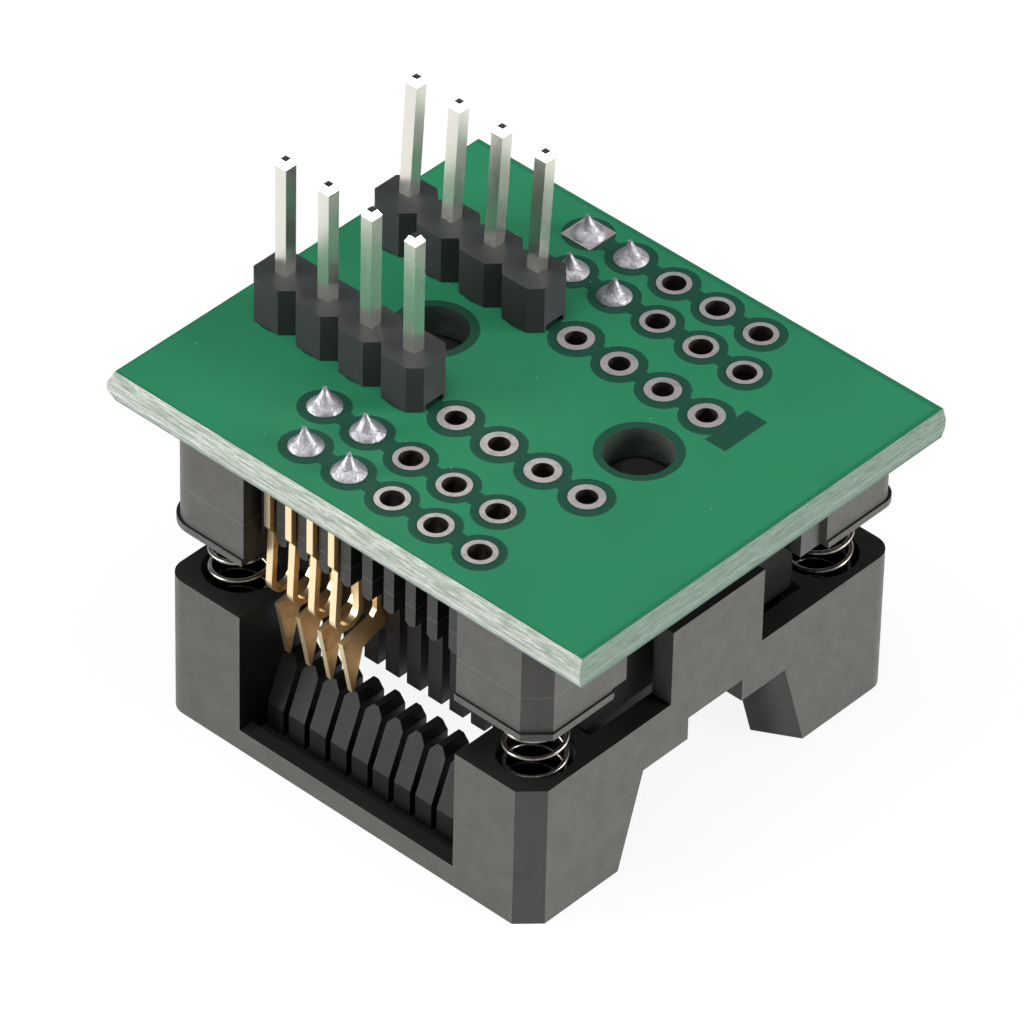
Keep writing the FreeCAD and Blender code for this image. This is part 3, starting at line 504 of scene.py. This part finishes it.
@dataclass(frozen=True)
class BoardFinish:
    """Green solder mask over copper, with bare laminate round the holes and at the edges.

    Attributes:
        rows: The rows of holes that the copper goes round.
        mark_low: The low corner of the bare rectangle by the last header hole, in millimetres.
        mark_high: Its high corner, in millimetres.
        half_length: Half of the board's length, in millimetres.
        half_width: Half of the board's width, in millimetres.
        under: The level of the board's underside, in millimetres.
        border: How far the copper stays from the edges, in millimetres.
        copper_green: The mask's colour over copper.
        bare_green: Its colour over bare laminate.
        rim_green: Its colour beside the board's edges.
        glass: The laminate's glass at the cut edges.
        resin: The resin between the glass.
        cut_end: The tint of the laminate at the ends along X.
        hole_wall: The dark colour painted on the laminate inside the large holes, as painted shade.
        under_green: The mask's colour at the underside's rim.
        seam_white: The line where a layer of glass splits.
        edge_roughness: The cut laminate's roughness.
        mask_roughness: The mask's roughness.
    """

    rows: tuple[HoleRow, ...]
    mark_low: Point
    mark_high: Point
    half_length: float
    half_width: float
    under: float
    border: float = 0.35
    copper_green: Colour = srgb(37, 116, 80)
    bare_green: Colour = srgb(25, 66, 52)
    rim_green: Colour = srgb(30, 100, 70)
    glass: Colour = srgb(226, 230, 222)
    resin: Colour = srgb(160, 172, 158)
    cut_end: Colour = srgb(96, 128, 108)
    hole_wall: Colour = srgb(52, 62, 54)
    under_green: Colour = srgb(104, 136, 138)
    seam_white: Colour = (1.0, 1.0, 0.98, 1.0)
    edge_roughness: float = 0.85
    mask_roughness: float = 0.42

    def row_distance(self, wiring: Wiring, row: HoleRow, x: object, y: object) -> object:
        """How far a point lies outside a row's bare rounds.

        Args:
            wiring: The material's nodes.
            row: The row of holes.
            x: The point's place along the row.
            y: The point's place across the row.

        Returns:
            The distance's socket, below zero inside.
        """
        steps = wiring.math("DIVIDE", wiring.math("SUBTRACT", x, row.first_x), row.pitch)
        nearest = wiring.math("ROUND", steps)
        nearest = wiring.math("MINIMUM", wiring.math("MAXIMUM", nearest, 0.0), float(row.count - 1))
        across = wiring.math("SUBTRACT", y, row.row_y)
        along = wiring.math("MULTIPLY", wiring.math("SUBTRACT", steps, nearest), row.pitch)
        squares = wiring.math(
            "ADD", wiring.math("MULTIPLY", along, along), wiring.math("MULTIPLY", across, across)
        )
        rounds = wiring.math("SUBTRACT", wiring.math("SQRT", squares), row.radius)
        if not row.neck:
            return rounds
        half = (row.count - 1) / 2
        from_middle = wiring.math("ABSOLUTE", wiring.math("SUBTRACT", steps, half))
        past_end = wiring.math("MULTIPLY", wiring.math("SUBTRACT", from_middle, half), row.pitch)
        beside = wiring.math("SUBTRACT", wiring.math("ABSOLUTE", across), row.neck)
        return wiring.math("MINIMUM", rounds, wiring.math("MAXIMUM", past_end, beside))

    def mark_distance(self, wiring: Wiring, x: object, y: object) -> object:
        """How far a point lies outside the bare rectangle."""
        sides = []
        for place, low, high in zip((x, y), self.mark_low, self.mark_high):
            offset = wiring.math("ABSOLUTE", wiring.math("SUBTRACT", place, (low + high) / 2))
            sides.append(wiring.math("SUBTRACT", offset, (high - low) / 2))
        return wiring.math("MAXIMUM", *sides)

    def mask(self, wiring: Wiring, x: object, y: object) -> tuple[object, object, object]:
        """The solder mask's colour, with where copper lies below it.

        Args:
            wiring: The material's nodes.
            x: The place along the board.
            y: The place across the board.

        Returns:
            The sockets of the colour, of the copper and of what lies inside the border.
        """
        bare = self.mark_distance(wiring, x, y)
        for row in self.rows:
            bare = wiring.math("MINIMUM", bare, self.row_distance(wiring, row, x, y))
        copper = wiring.spread(bare, -0.03, 0.03)
        rim = wiring.math(
            "MINIMUM",
            wiring.math("SUBTRACT", self.half_length, wiring.math("ABSOLUTE", x)),
            wiring.math("SUBTRACT", self.half_width, wiring.math("ABSOLUTE", y)),
        )
        inner = wiring.spread(rim, self.border - 0.05, self.border + 0.05)
        clouds = wiring.spread(wiring.noise(0.12, 3, 0.5), 0.3, 0.7)
        cloudy = wiring.math("MULTIPLY", clouds, 0.16)
        tinted = wiring.blend(cloudy, self.copper_green, self.bare_green)
        mask = wiring.blend(copper, self.bare_green, tinted)
        mask = wiring.blend(inner, self.rim_green, mask)
        dust = wiring.spread(wiring.specks(0.9), 0.035, 0.02)
        mask = wiring.blend(wiring.math("MULTIPLY", dust, 0.35), mask, self.glass)
        return mask, copper, inner

    def laminate(self, wiring: Wiring, z: object, fibres: object, inner: object) -> object:
        """The cut laminate's colour, with its fibres, its split seam, its tint at the ends and
        painted shade inside the holes.

        Args:
            wiring: The material's nodes.
            z: The place through the board.
            fibres: The fibres' pattern.
            inner: Where the board is inside its border.

        Returns:
            The colour's socket.
        """
        tufts = wiring.math("MULTIPLY", wiring.spread(wiring.noise(3.0, 4, 0.7), 0.45, 0.75), 0.4)
        colour = wiring.blend(wiring.spread(fibres, 0.38, 0.62), self.resin, self.glass)
        colour = wiring.blend(tufts, colour, self.resin)
        sway = wiring.math("MULTIPLY", wiring.noise(0.55, 2, 0.5), 0.5)
        seam = wiring.math("ADD", sway, self.under + 0.3)
        from_seam = wiring.math("ABSOLUTE", wiring.math("SUBTRACT", z, seam))
        split = wiring.spread(from_seam, 0.03, 0.1, 0.5, 0.0)
        colour = wiring.blend(split, colour, self.seam_white)
        low = wiring.spread(z, self.under + 0.08, self.under + 0.22, 0.75, 0.0)
        colour = wiring.blend(low, colour, self.under_green)
        cut = wiring.spread(wiring.math("ABSOLUTE", wiring.normal()[0]), 0.4, 0.8, 0.0, 0.7)
        colour = wiring.blend(cut, colour, self.cut_end)
        # Laminate inside the border, in the holes, is painted dark as painted shade.
        return wiring.blend(wiring.math("MULTIPLY", inner, 0.9), colour, self.hole_wall)

    def material(self) -> bpy.types.Material:
        """Builds the finish."""
        wiring = Wiring("solder_mask_and_laminate")
        x, y, z = wiring.axes()
        mask, copper, inner = self.mask(wiring, x, y)
        flat = wiring.spread(wiring.math("ABSOLUTE", wiring.normal()[2]), 0.9, 0.97)
        fibres = wiring.noise(1.0, 5, 0.75, wiring.stretched(0.8, 0.8, 13.0))
        wiring.set(
            base_color=wiring.blend(flat, self.laminate(wiring, z, fibres, inner), mask),
            roughness=wiring.spread(flat, 0.0, 1.0, self.edge_roughness, self.mask_roughness),
            ior=1.5,
            specular_ior_level=0.16,
        )
        waves = wiring.bump(wiring.noise(0.35, 2, 0.5), 0.012 * MM)
        step = wiring.bump(wiring.math("MULTIPLY", copper, flat), 0.03 * MM, waves)
        rough = wiring.math("MULTIPLY", fibres, wiring.math("SUBTRACT", 1.0, flat))
        wiring.bump(rough, 0.25 * MM, step)
        return wiring.material


def dress(node: bpy.types.Object, material: bpy.types.Material) -> None:
    """Gives a piece one finish all over.

    Args:
        node: The piece.
        material: Its finish.
    """
    if not node.material_slots:
        node.data.materials.append(material)
    for held in node.material_slots:
        held.material = material


def soften(node: bpy.types.Object, radius: float, segments: int = 2) -> None:
    """Rounds a piece's sharp edges, as a mould, a die or a bath of tin leaves them.

    Args:
        node: The piece.
        radius: The edges' radius.
        segments: How many flats each rounded edge has.
    """
    node.data.polygons.foreach_set("use_smooth", [True] * len(node.data.polygons))
    flat = node.modifiers.new("whole_faces", "DECIMATE")
    flat.decimate_type = "DISSOLVE"
    flat.angle_limit = math.radians(1)
    edges = node.modifiers.new("rounded_edges", "BEVEL")
    edges.width = radius
    edges.segments = segments
    edges.limit_method = "ANGLE"
    edges.angle_limit = math.radians(32)
    edges.use_clamp_overlap = False
    edges.harden_normals = True
    shading = node.modifiers.new("even_shading", "WEIGHTED_NORMAL")
    shading.keep_sharp = True


def new_piece(
    name: str, body: str, material: bpy.types.Material, mesh: bpy.types.Mesh
) -> bpy.types.Object:
    """A new piece that rides on one of the adapter's bodies.

    Args:
        name: The piece's name.
        body: The body that it rides on.
        material: Its finish.
        mesh: Its shape.

    Returns:
        The piece.
    """
    piece = bpy.data.objects.new(name, mesh)
    bpy.context.scene.collection.objects.link(piece)
    mesh.materials.append(material)
    mesh.polygons.foreach_set("use_smooth", [True] * len(mesh.polygons))
    mesh.set_sharp_from_angle(angle=math.radians(40))
    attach(piece, body)
    return piece


@dataclass
class Board:
    """The circuit board with its tinned holes.

    Attributes:
        node: The board's CAD node.
        halo: The radius of the bare rounds at the header holes, in millimetres.
        neck: The half width of the bare strips that join them, in millimetres.
        socket_halo: The radius of the bare rounds at the socket holes, in millimetres.
        peg_halo: The radius of the bare rounds at the guide pegs' holes, in millimetres.
        peg_reach: How far those holes are from the socket's middle, in millimetres.
        mark_low: The low corner of the bare rectangle, in millimetres.
        mark_high: Its high corner, in millimetres.
        header_holes: How many holes each header row has.
        socket_holes: How many holes each socket row has.
        ring_edge: The radius of the rings' edges.
    """

    node: str = "circuit_board"
    halo: float = 1.27
    neck: float = 0.45
    socket_halo: float = 1.2
    peg_halo: float = 2.0
    peg_reach: float = 6.02
    mark_low: Point = (7.75, 2.85)
    mark_high: Point = (8.95, 5.6)
    header_holes: int = 8
    socket_holes: int = 5
    ring_edge: float = 0.02 * MM

    def hole_rows(self) -> tuple[HoleRow, ...]:
        """Reads the rows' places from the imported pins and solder."""
        rows = []
        for side in Side:
            names = (f"header_solder_{side.word}_{number}" for number in (1, 2))
            first, second = (middle(name) / MM for name in names)
            pitch = second.x - first.x
            rows.append(HoleRow(first.x, first.y, pitch, self.header_holes, self.halo, self.neck))
            for start in (1, 2):
                spot = middle(f"contact_solder_{side.word}_{start}") / MM
                rows.append(
                    HoleRow(spot.x, spot.y, pitch, self.socket_holes, self.socket_halo, self.neck)
                )
        base = middle("socket_base") / MM
        low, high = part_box("socket_hole_rings")
        peg_y = (low.y + high.y) / 2 / MM
        rows.append(HoleRow(base.x - self.peg_reach, peg_y, 2 * self.peg_reach, 2, self.peg_halo))
        return tuple(rows)

    def build(self) -> None:
        """Dresses the board and its rings."""
        low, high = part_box(self.node)
        finish = BoardFinish(
            self.hole_rows(), self.mark_low, self.mark_high, high.x / MM, high.y / MM, low.z / MM
        )
        dress(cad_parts[self.node], finish.material())
        # The rings' upright faces are painted dark, as painted shade on the hole walls.
        ring_tin = BrightMetal(
            "tinned_rings",
            srgb(216, 211, 211),
            srgb(190, 183, 181),
            0.5,
            (6, 6, 0.4),
            0.01 * MM,
            srgb(92, 86, 80),
        ).material()
        for name in ("header_hole_rings", "socket_hole_rings"):
            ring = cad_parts[name]
            dress(ring, ring_tin)
            soften(ring, self.ring_edge)
            LOG.info("dressed %s", name)


@dataclass
class Headers:
    """The two pin headers.

    Attributes:
        pins: The pins' numbers in each strip.
        strip_edge: The radius of the strips' edges.
        pin_edge: The radius of the pins' edges.
    """

    pins: range = field(default_factory=lambda: range(1, 5))
    strip_edge: float = 0.06 * MM
    pin_edge: float = 0.12 * MM

    def build(self) -> None:
        """Dresses the strips, the pins and the fillets below them."""
        plastic = MouldedPlastic(
            "header_plastic", srgb(32, 35, 36), srgb(72, 75, 75), 0.5, 0.48, 9.0, 0.006 * MM
        ).material()
        # The pins' upright sides are painted paler than their tops and chamfers, as a painted
        # sheen.
        tin = BrightMetal(
            "tinned_pins",
            srgb(176, 172, 166),
            srgb(150, 146, 140),
            0.24,
            (9, 9, 0.4),
            0.001 * MM,
            srgb(232, 230, 220),
            0.2,
        ).material()
        solder = BrightMetal(
            "pin_solder", srgb(190, 190, 192), srgb(150, 148, 150), 0.3, (2, 2, 2), 0.01 * MM
        ).material()
        for side in Side:
            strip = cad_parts[f"header_strip_{side.word}"]
            dress(strip, plastic)
            soften(strip, self.strip_edge)
            for number in self.pins:
                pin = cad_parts[f"header_pin_{side.word}_{number}"]
                dress(pin, tin)
                soften(pin, self.pin_edge)
                dress(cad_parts[f"header_solder_{side.word}_{number}"], solder)
            LOG.info("dressed the %s header", side.word)


@dataclass
class SolderCones:
    """The pointed cones of solder at the socket contacts' tails.

    Attributes:
        foot_radius: The radius at the ring.
        plug_radius: The radius inside the hole.
        rise: The height of the point above the ring.
        tip_radius: The radius at the point.
        numbers: The soldered contacts' numbers in each row.
        turns: How many flats go round.
        levels: How many rings of points the cone has.
        seed: What the lumps are drawn from.
    """

    foot_radius: float = 0.8 * MM
    plug_radius: float = 0.53 * MM
    rise: float = 0.98 * MM
    tip_radius: float = 0.1 * MM
    numbers: range = field(default_factory=lambda: range(1, 5))
    turns: int = 40
    levels: int = 26
    seed: int = 11

    def mesh(
        self, name: str, centre: Vector, foot: float, deep: float, dice: random.Random
    ) -> bpy.types.Mesh:
        """One cone with soft lumps, its point a little off the middle.

        Args:
            name: The mesh's name.
            centre: The hole's middle.
            foot: The level of the ring's top.
            deep: The level of the board's underside.
            dice: Where the lumps come from.

        Returns:
            The closed mesh.
        """
        shape = bmesh.new()
        lean = Vector((dice.uniform(-0.09, 0.09), dice.uniform(-0.09, 0.09))) * MM
        waves = [(dice.uniform(0, math.tau), dice.uniform(0.02, 0.055)) for _ in range(3)]
        fatness = dice.uniform(0.92, 1.08)
        rise = self.rise * dice.uniform(0.93, 1.05)
        rings = []
        profile = [(deep, self.plug_radius * 0.9), (deep + 0.06 * MM, self.plug_radius)]
        profile.append((foot - 0.01 * MM, self.plug_radius))
        for step in range(self.levels + 1):
            share = step / self.levels
            swell = 0.1 * math.exp(-(((share - 0.2) / 0.16) ** 2))
            slope = (1 - share) ** (1.4 * fatness) + swell * (1 - share)
            radius = self.tip_radius + (self.foot_radius - self.tip_radius) * min(1.0, slope)
            profile.append((foot + rise * share ** 1.08, radius))
        for level, radius in profile:
            above = max(0.0, (level - foot) / rise)
            ring = []
            for turn in range(self.turns):
                angle = math.tau * turn / self.turns
                lump = sum(
                    size * math.cos((order + 1) * angle + phase)
                    for order, (phase, size) in enumerate(waves)
                )
                reach = radius * (1 + lump * math.sin(math.pi * min(1.0, above)) * 1.6)
                spot = Vector((math.cos(angle), math.sin(angle))) * reach + lean * above ** 1.5
                ring.append(shape.verts.new((centre.x + spot.x, centre.y + spot.y, level)))
            rings.append(ring)
        for lower, upper in zip(rings, rings[1:]):
            for turn in range(self.turns):
                beside = (turn + 1) % self.turns
                shape.faces.new((lower[turn], lower[beside], upper[beside], upper[turn]))
        shape.faces.new(reversed(rings[0]))
        shape.faces.new(rings[-1])
        made = bpy.data.meshes.new(name)
        shape.to_mesh(made)
        shape.free()
        return made

    def build(self) -> None:
        """Builds one cone over each soldered contact."""
        dice = random.Random(self.seed)
        finish = BrightMetal(
            "contact_solder", srgb(164, 162, 168), srgb(128, 126, 131), 0.52, (7, 7, 1.2), 0.05 * MM
        ).material()
        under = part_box("circuit_board")[0].z
        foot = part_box("socket_hole_rings")[1].z
        for side in Side:
            for number in self.numbers:
                node = f"contact_solder_{side.word}_{number}"
                name = f"solder_cone_{side.word}_{number}"
                mesh = self.mesh(name, middle(node), foot, under, dice)
                cone = new_piece(name, "root", finish, mesh)
                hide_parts(node)
            LOG.info("built the %s solder cones", side.word)


@dataclass
class Socket:
    """The socket's base and cover.

    Attributes:
        edge: The radius of the mouldings' edges.
        parting_level: The level of the base's parting line, in millimetres.
        skirt_in: Where the black sheet that makes shade under one end body starts, from the
            socket's middle.
        skirt_out: Where it ends, clear of the cover's leg.
        skirt_half_width: Half of its width.
        skirt_foot: The level of its foot.
        skirt_top: The level of its top, just inside the end body.
    """

    edge: float = 0.1 * MM
    parting_level: float = 12.8
    skirt_in: float = 7.4 * MM
    skirt_out: float = 8.72 * MM
    skirt_half_width: float = 6.6 * MM
    skirt_foot: float = 5.0 * MM
    skirt_top: float = 7.55 * MM

    def skirt(self, way: int, finish: bpy.types.Material) -> None:
        """A black sheet under one end body, put there to make shade: it closes the view through the
        socket's end.

        Args:
            way: -1 for the left end, 1 for the right end.
            finish: The base's finish.
        """
        centre = middle("cover")
        reach = (self.skirt_in + self.skirt_out) / 2
        depth = self.skirt_top - self.skirt_foot
        width = self.skirt_out - self.skirt_in
        sizes = Matrix.Diagonal((width, 2 * self.skirt_half_width, depth, 1.0))
        place = Vector((centre.x + way * reach, centre.y, (self.skirt_foot + self.skirt_top) / 2))
        shape = bmesh.new()
        bmesh.ops.create_cube(shape, size=1.0, matrix=Matrix.Translation(place) @ sizes)
        mesh = bpy.data.meshes.new(f"end_skirt_{'right' if way > 0 else 'left'}")
        shape.to_mesh(mesh)
        shape.free()
        piece = new_piece(mesh.name, "root", finish, mesh)

    def build(self) -> None:
        """Dresses the two mouldings."""
        for name, node, parting in (
            ("base_plastic", "socket_base", self.parting_level),
            ("cover_plastic", "cover", -self.parting_level),
        ):
            low, high = (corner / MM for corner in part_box(node))
            # The middle and half switch on the painted sheen: outer upright faces paler, tops and
            # inner faces painted darker as shade.
            finish = MouldedPlastic(
                name,
                srgb(14, 14, 13),
                srgb(126, 124, 120),
                0.62,
                0.45,
                14.0,
                0.012 * MM,
                parting,
                ((low.x + high.x) / 2, (low.y + high.y) / 2),
                ((high.x - low.x) / 2, (high.y - low.y) / 2),
            )
            plastic = finish.material()
            dress(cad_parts[node], plastic)
            soften(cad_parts[node], self.edge)
            # The base also gets two black sheets at the socket's ends, put there to make shade.
            if node == "socket_base":
                for way in (-1, 1):
                    self.skirt(way, plastic)
            LOG.info("dressed %s", node)


@dataclass
class Springs:
    """The four return springs, wound wire between the cover's pockets and the base.

    Attributes:
        wire: The wire's diameter.
        turns: How many turns each spring has.
        first_start: The angle at which the first spring's wire starts.
        start_step: How much further round each next one starts.
        points_each_turn: How many points each turn has.
        flats: How many flats go round the wire.
        end_crowding: How much closer the turns lie at the ends.
        keep: The share of its length that a spring keeps at the end of the travel. Not used.
    """

    wire: float = 0.22 * MM
    turns: float = 6.3
    first_start: float = -1.35
    start_step: float = 1.9
    points_each_turn: int = 36
    flats: int = 12
    end_crowding: float = 0.012
    keep: float = 0.634

    def mesh(self, name: str, low: Vector, high: Vector, start: float) -> bpy.types.Mesh:
        """A wound wire that fills a CAD spring's box.

        Args:
            name: The mesh's name.
            low: The box's low corner.
            high: The box's high corner.
            start: The angle that the wire starts at.

        Returns:
            The closed mesh.
        """
        centre = (low + high) / 2
        radius = (high.x - low.x - self.wire) / 2
        count = round(self.turns * self.points_each_turn)
        foot, rise = low.z + self.wire / 2, high.z - low.z - self.wire
        shape = bmesh.new()
        rings = []
        for step in range(count + 1):
            share = step / count
            angle = start + math.tau * self.turns * share
            outward = Vector((math.cos(angle), math.sin(angle), 0))
            climb = share - math.sin(math.tau * share) * self.end_crowding
            spot = Vector((centre.x, centre.y, foot + rise * climb)) + outward * radius
            ring = []
            for flat in range(self.flats):
                turn = math.tau * flat / self.flats
                reach = outward * math.cos(turn) + Vector((0, 0, math.sin(turn)))
                ring.append(shape.verts.new(spot + reach * self.wire / 2))
            rings.append(ring)
        for lower, upper in zip(rings, rings[1:]):
            for flat in range(self.flats):
                beside = (flat + 1) % self.flats
                shape.faces.new((lower[flat], upper[flat], upper[beside], lower[beside]))
        shape.faces.new(rings[0])
        shape.faces.new(reversed(rings[-1]))
        made = bpy.data.meshes.new(name)
        shape.normal_update()
        shape.to_mesh(made)
        shape.free()
        return made

    def build(self) -> None:
        """Builds each spring as a wound wire in its CAD spring's box."""
        steel = BrightMetal(
            "spring_wire", srgb(156, 151, 144), srgb(84, 77, 72), 0.3, (4, 4, 4), 0.004 * MM
        ).material()
        nodes = sorted(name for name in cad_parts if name.startswith("spring_"))
        for index, node in enumerate(nodes):
            low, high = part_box(node)
            name = node.replace("spring", "return_spring")
            start = self.first_start + index * self.start_step
            spring = new_piece(name, "root", steel, self.mesh(name, low, high, start))
            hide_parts(node)
            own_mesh(spring)
            LOG.info("wound %s", name)


@dataclass
class Contacts:
    """The fitted contacts of both rows.

    Attributes:
        numbers: The contacts' numbers in each row.
        edge: The radius of their edges.
    """

    numbers: range = field(default_factory=lambda: range(1, 5))
    edge: float = 0.06 * MM

    def build(self) -> None:
        """Dresses each contact's held and moving halves."""
        gold = SheetGold().material()
        for side in Side:
            for number in self.numbers:
                for half in ("stem", "arm"):
                    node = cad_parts[f"contact_{half}_{side.word}_{number}"]
                    dress(node, gold)
                    soften(node, self.edge)
            LOG.info("dressed the %s contacts", side.word)


@dataclass
class Studio:
    """A pale floor, soft lamps, a surround that darkens overhead and the photograph's camera.

    Attributes:
        eye: Where the camera stands.
        aim: The point that it looks at.
        roll: How far it is turned about its own line of sight, in degrees.
        sensor: The width of its sensor, in millimetres.
        focal: Its focal length, in millimetres.
        floor_size: The side of the floor.
        floor_glow: How much of the floor's white doesn't take shadows.
        zenith: How bright the surround is overhead, against the horizon.
        surround: The surround's strength as a light.
        horizon: The height, as the sine of the angle, where the surround starts to darken.
        overhead: The height where it is darkest.
        lamp_width: The side of each lamp's square.
    """

    eye: Vector = field(default_factory=lambda: Vector((0.201106, -0.224220, 0.261347)))
    aim: Vector = field(default_factory=lambda: Vector((0.000816, -0.001631, 0.01175)))
    roll: float = 1.3545
    sensor: float = 36.0
    focal: float = 316.4
    floor_size: float = 1.2
    floor_glow: float = 0.9
    zenith: float = 0.09
    surround: float = 0.6
    horizon: float = 0.12
    overhead: float = 0.45
    lamp_width: float = 0.3

    def camera(self) -> None:
        """Places the camera."""
        data = bpy.data.cameras.new("camera")
        data.sensor_width = self.sensor
        data.lens = self.focal
        data.clip_start, data.clip_end = 0.01, 5.0
        camera = bpy.data.objects.new("camera", data)
        bpy.context.scene.collection.objects.link(camera)
        camera.location = self.eye
        camera.rotation_mode = "QUATERNION"
        sight = (self.aim - self.eye).to_track_quat("-Z", "Y")
        camera.rotation_quaternion = sight @ Quaternion((0, 0, 1), math.radians(self.roll))
        bpy.context.scene.camera = camera

    def lamp(self, name: str, place: Triple, power: float) -> None:
        """A square soft lamp that faces the adapter.

        Args:
            name: The lamp's name.
            place: Where it stands.
            power: Its power in watts.
        """
        data = bpy.data.lights.new(name, "AREA")
        data.size = self.lamp_width
        data.energy = power
        lamp = bpy.data.objects.new(name, data)
        bpy.context.scene.collection.objects.link(lamp)
        lamp.location = place
        lamp.rotation_mode = "QUATERNION"
        lamp.rotation_quaternion = (-Vector(place)).to_track_quat("-Z", "Y")

    def floor(self) -> None:
        """The white surface that the adapter stands on."""
        half = self.floor_size / 2
        mesh = bpy.data.meshes.new("floor")
        corners = [(-half, -half, 0), (half, -half, 0), (half, half, 0), (-half, half, 0)]
        mesh.from_pydata(corners, [], [(0, 1, 2, 3)])
        floor = bpy.data.objects.new("floor", mesh)
        bpy.context.scene.collection.objects.link(floor)
        wiring = Wiring("white_floor")
        seen = self.seen_rays(wiring.tree)
        glow = wiring.tree.nodes.new("ShaderNodeEmission")
        glow.inputs["Color"].default_value = (1, 1, 1, 1)
        mixer = wiring.tree.nodes.new("ShaderNodeMixShader")
        wiring.feed(mixer.inputs[0], wiring.math("MULTIPLY", seen, self.floor_glow))
        wiring.set(base_color=(0.86, 0.86, 0.86, 1), roughness=0.9)
        wiring.tree.links.new(wiring.shader.outputs[0], mixer.inputs[1])
        wiring.tree.links.new(glow.outputs[0], mixer.inputs[2])
        wiring.tree.links.new(mixer.outputs[0], wiring.tree.nodes["Material Output"].inputs[0])
        mesh.materials.append(wiring.material)

    def seen_rays(self, tree: bpy.types.NodeTree) -> object:
        """1 for the rays that show the background, straight or in metal and glass."""
        path = tree.nodes.new("ShaderNodeLightPath")
        total = path.outputs["Is Camera Ray"]
        for name in ("Is Glossy Ray", "Is Transmission Ray"):
            step = tree.nodes.new("ShaderNodeMath")
            step.operation = "MAXIMUM"
            tree.links.new(total, step.inputs[0])
            tree.links.new(path.outputs[name], step.inputs[1])
            total = step.outputs[0]
        return total

    def world(self) -> None:
        """A surround that is white at the horizon and dim overhead."""
        world = bpy.data.worlds.new("white_surround")
        world.use_nodes = True
        bpy.context.scene.world = world
        tree = world.node_tree
        back = tree.nodes["Background"]
        back.inputs["Color"].default_value = (1, 1, 1, 1)
        sight = tree.nodes.new("ShaderNodeTexCoord")
        split = tree.nodes.new("ShaderNodeSeparateXYZ")
        tree.links.new(sight.outputs["Generated"], split.inputs[0])
        fading = tree.nodes.new("ShaderNodeMapRange")
        fading.interpolation_type = "SMOOTHSTEP"
        for index, number in enumerate((self.horizon, self.overhead, 1.0, self.zenith), start=1):
            fading.inputs[index].default_value = number
        tree.links.new(split.outputs["Z"], fading.inputs[0])
        strength = tree.nodes.new("ShaderNodeMapRange")
        strength.inputs["To Min"].default_value = self.surround
        strength.inputs["To Max"].default_value = 1.0
        tree.links.new(self.seen_rays(tree), strength.inputs["Value"])
        both = tree.nodes.new("ShaderNodeMath")
        both.operation = "MULTIPLY"
        tree.links.new(fading.outputs[0], both.inputs[0])
        tree.links.new(strength.outputs[0], both.inputs[1])
        tree.links.new(both.outputs[0], back.inputs["Strength"])

    def build(self) -> None:
        """Sets up the surroundings."""
        bpy.context.scene.view_settings.view_transform = "Standard"
        self.world()
        self.floor()
        self.lamp("left_lamp", (-0.34, -0.40, 0.16), 3.4)
        self.lamp("right_lamp", (0.46, 0.28, 0.16), 4.2)
        self.lamp("top_lamp", (0.02, -0.1, 0.52), 2.2)
        self.camera()


def main() -> None:
    """Builds and dresses the adapter in order, then the studio."""
    logging.basicConfig(level=logging.INFO, format="%(name)s: %(message)s")
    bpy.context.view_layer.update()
    for part in (Board(), Headers(), SolderCones(), Socket(), Contacts(), Springs(), Studio()):
        part.build()


if __name__ == "__main__":
    main()
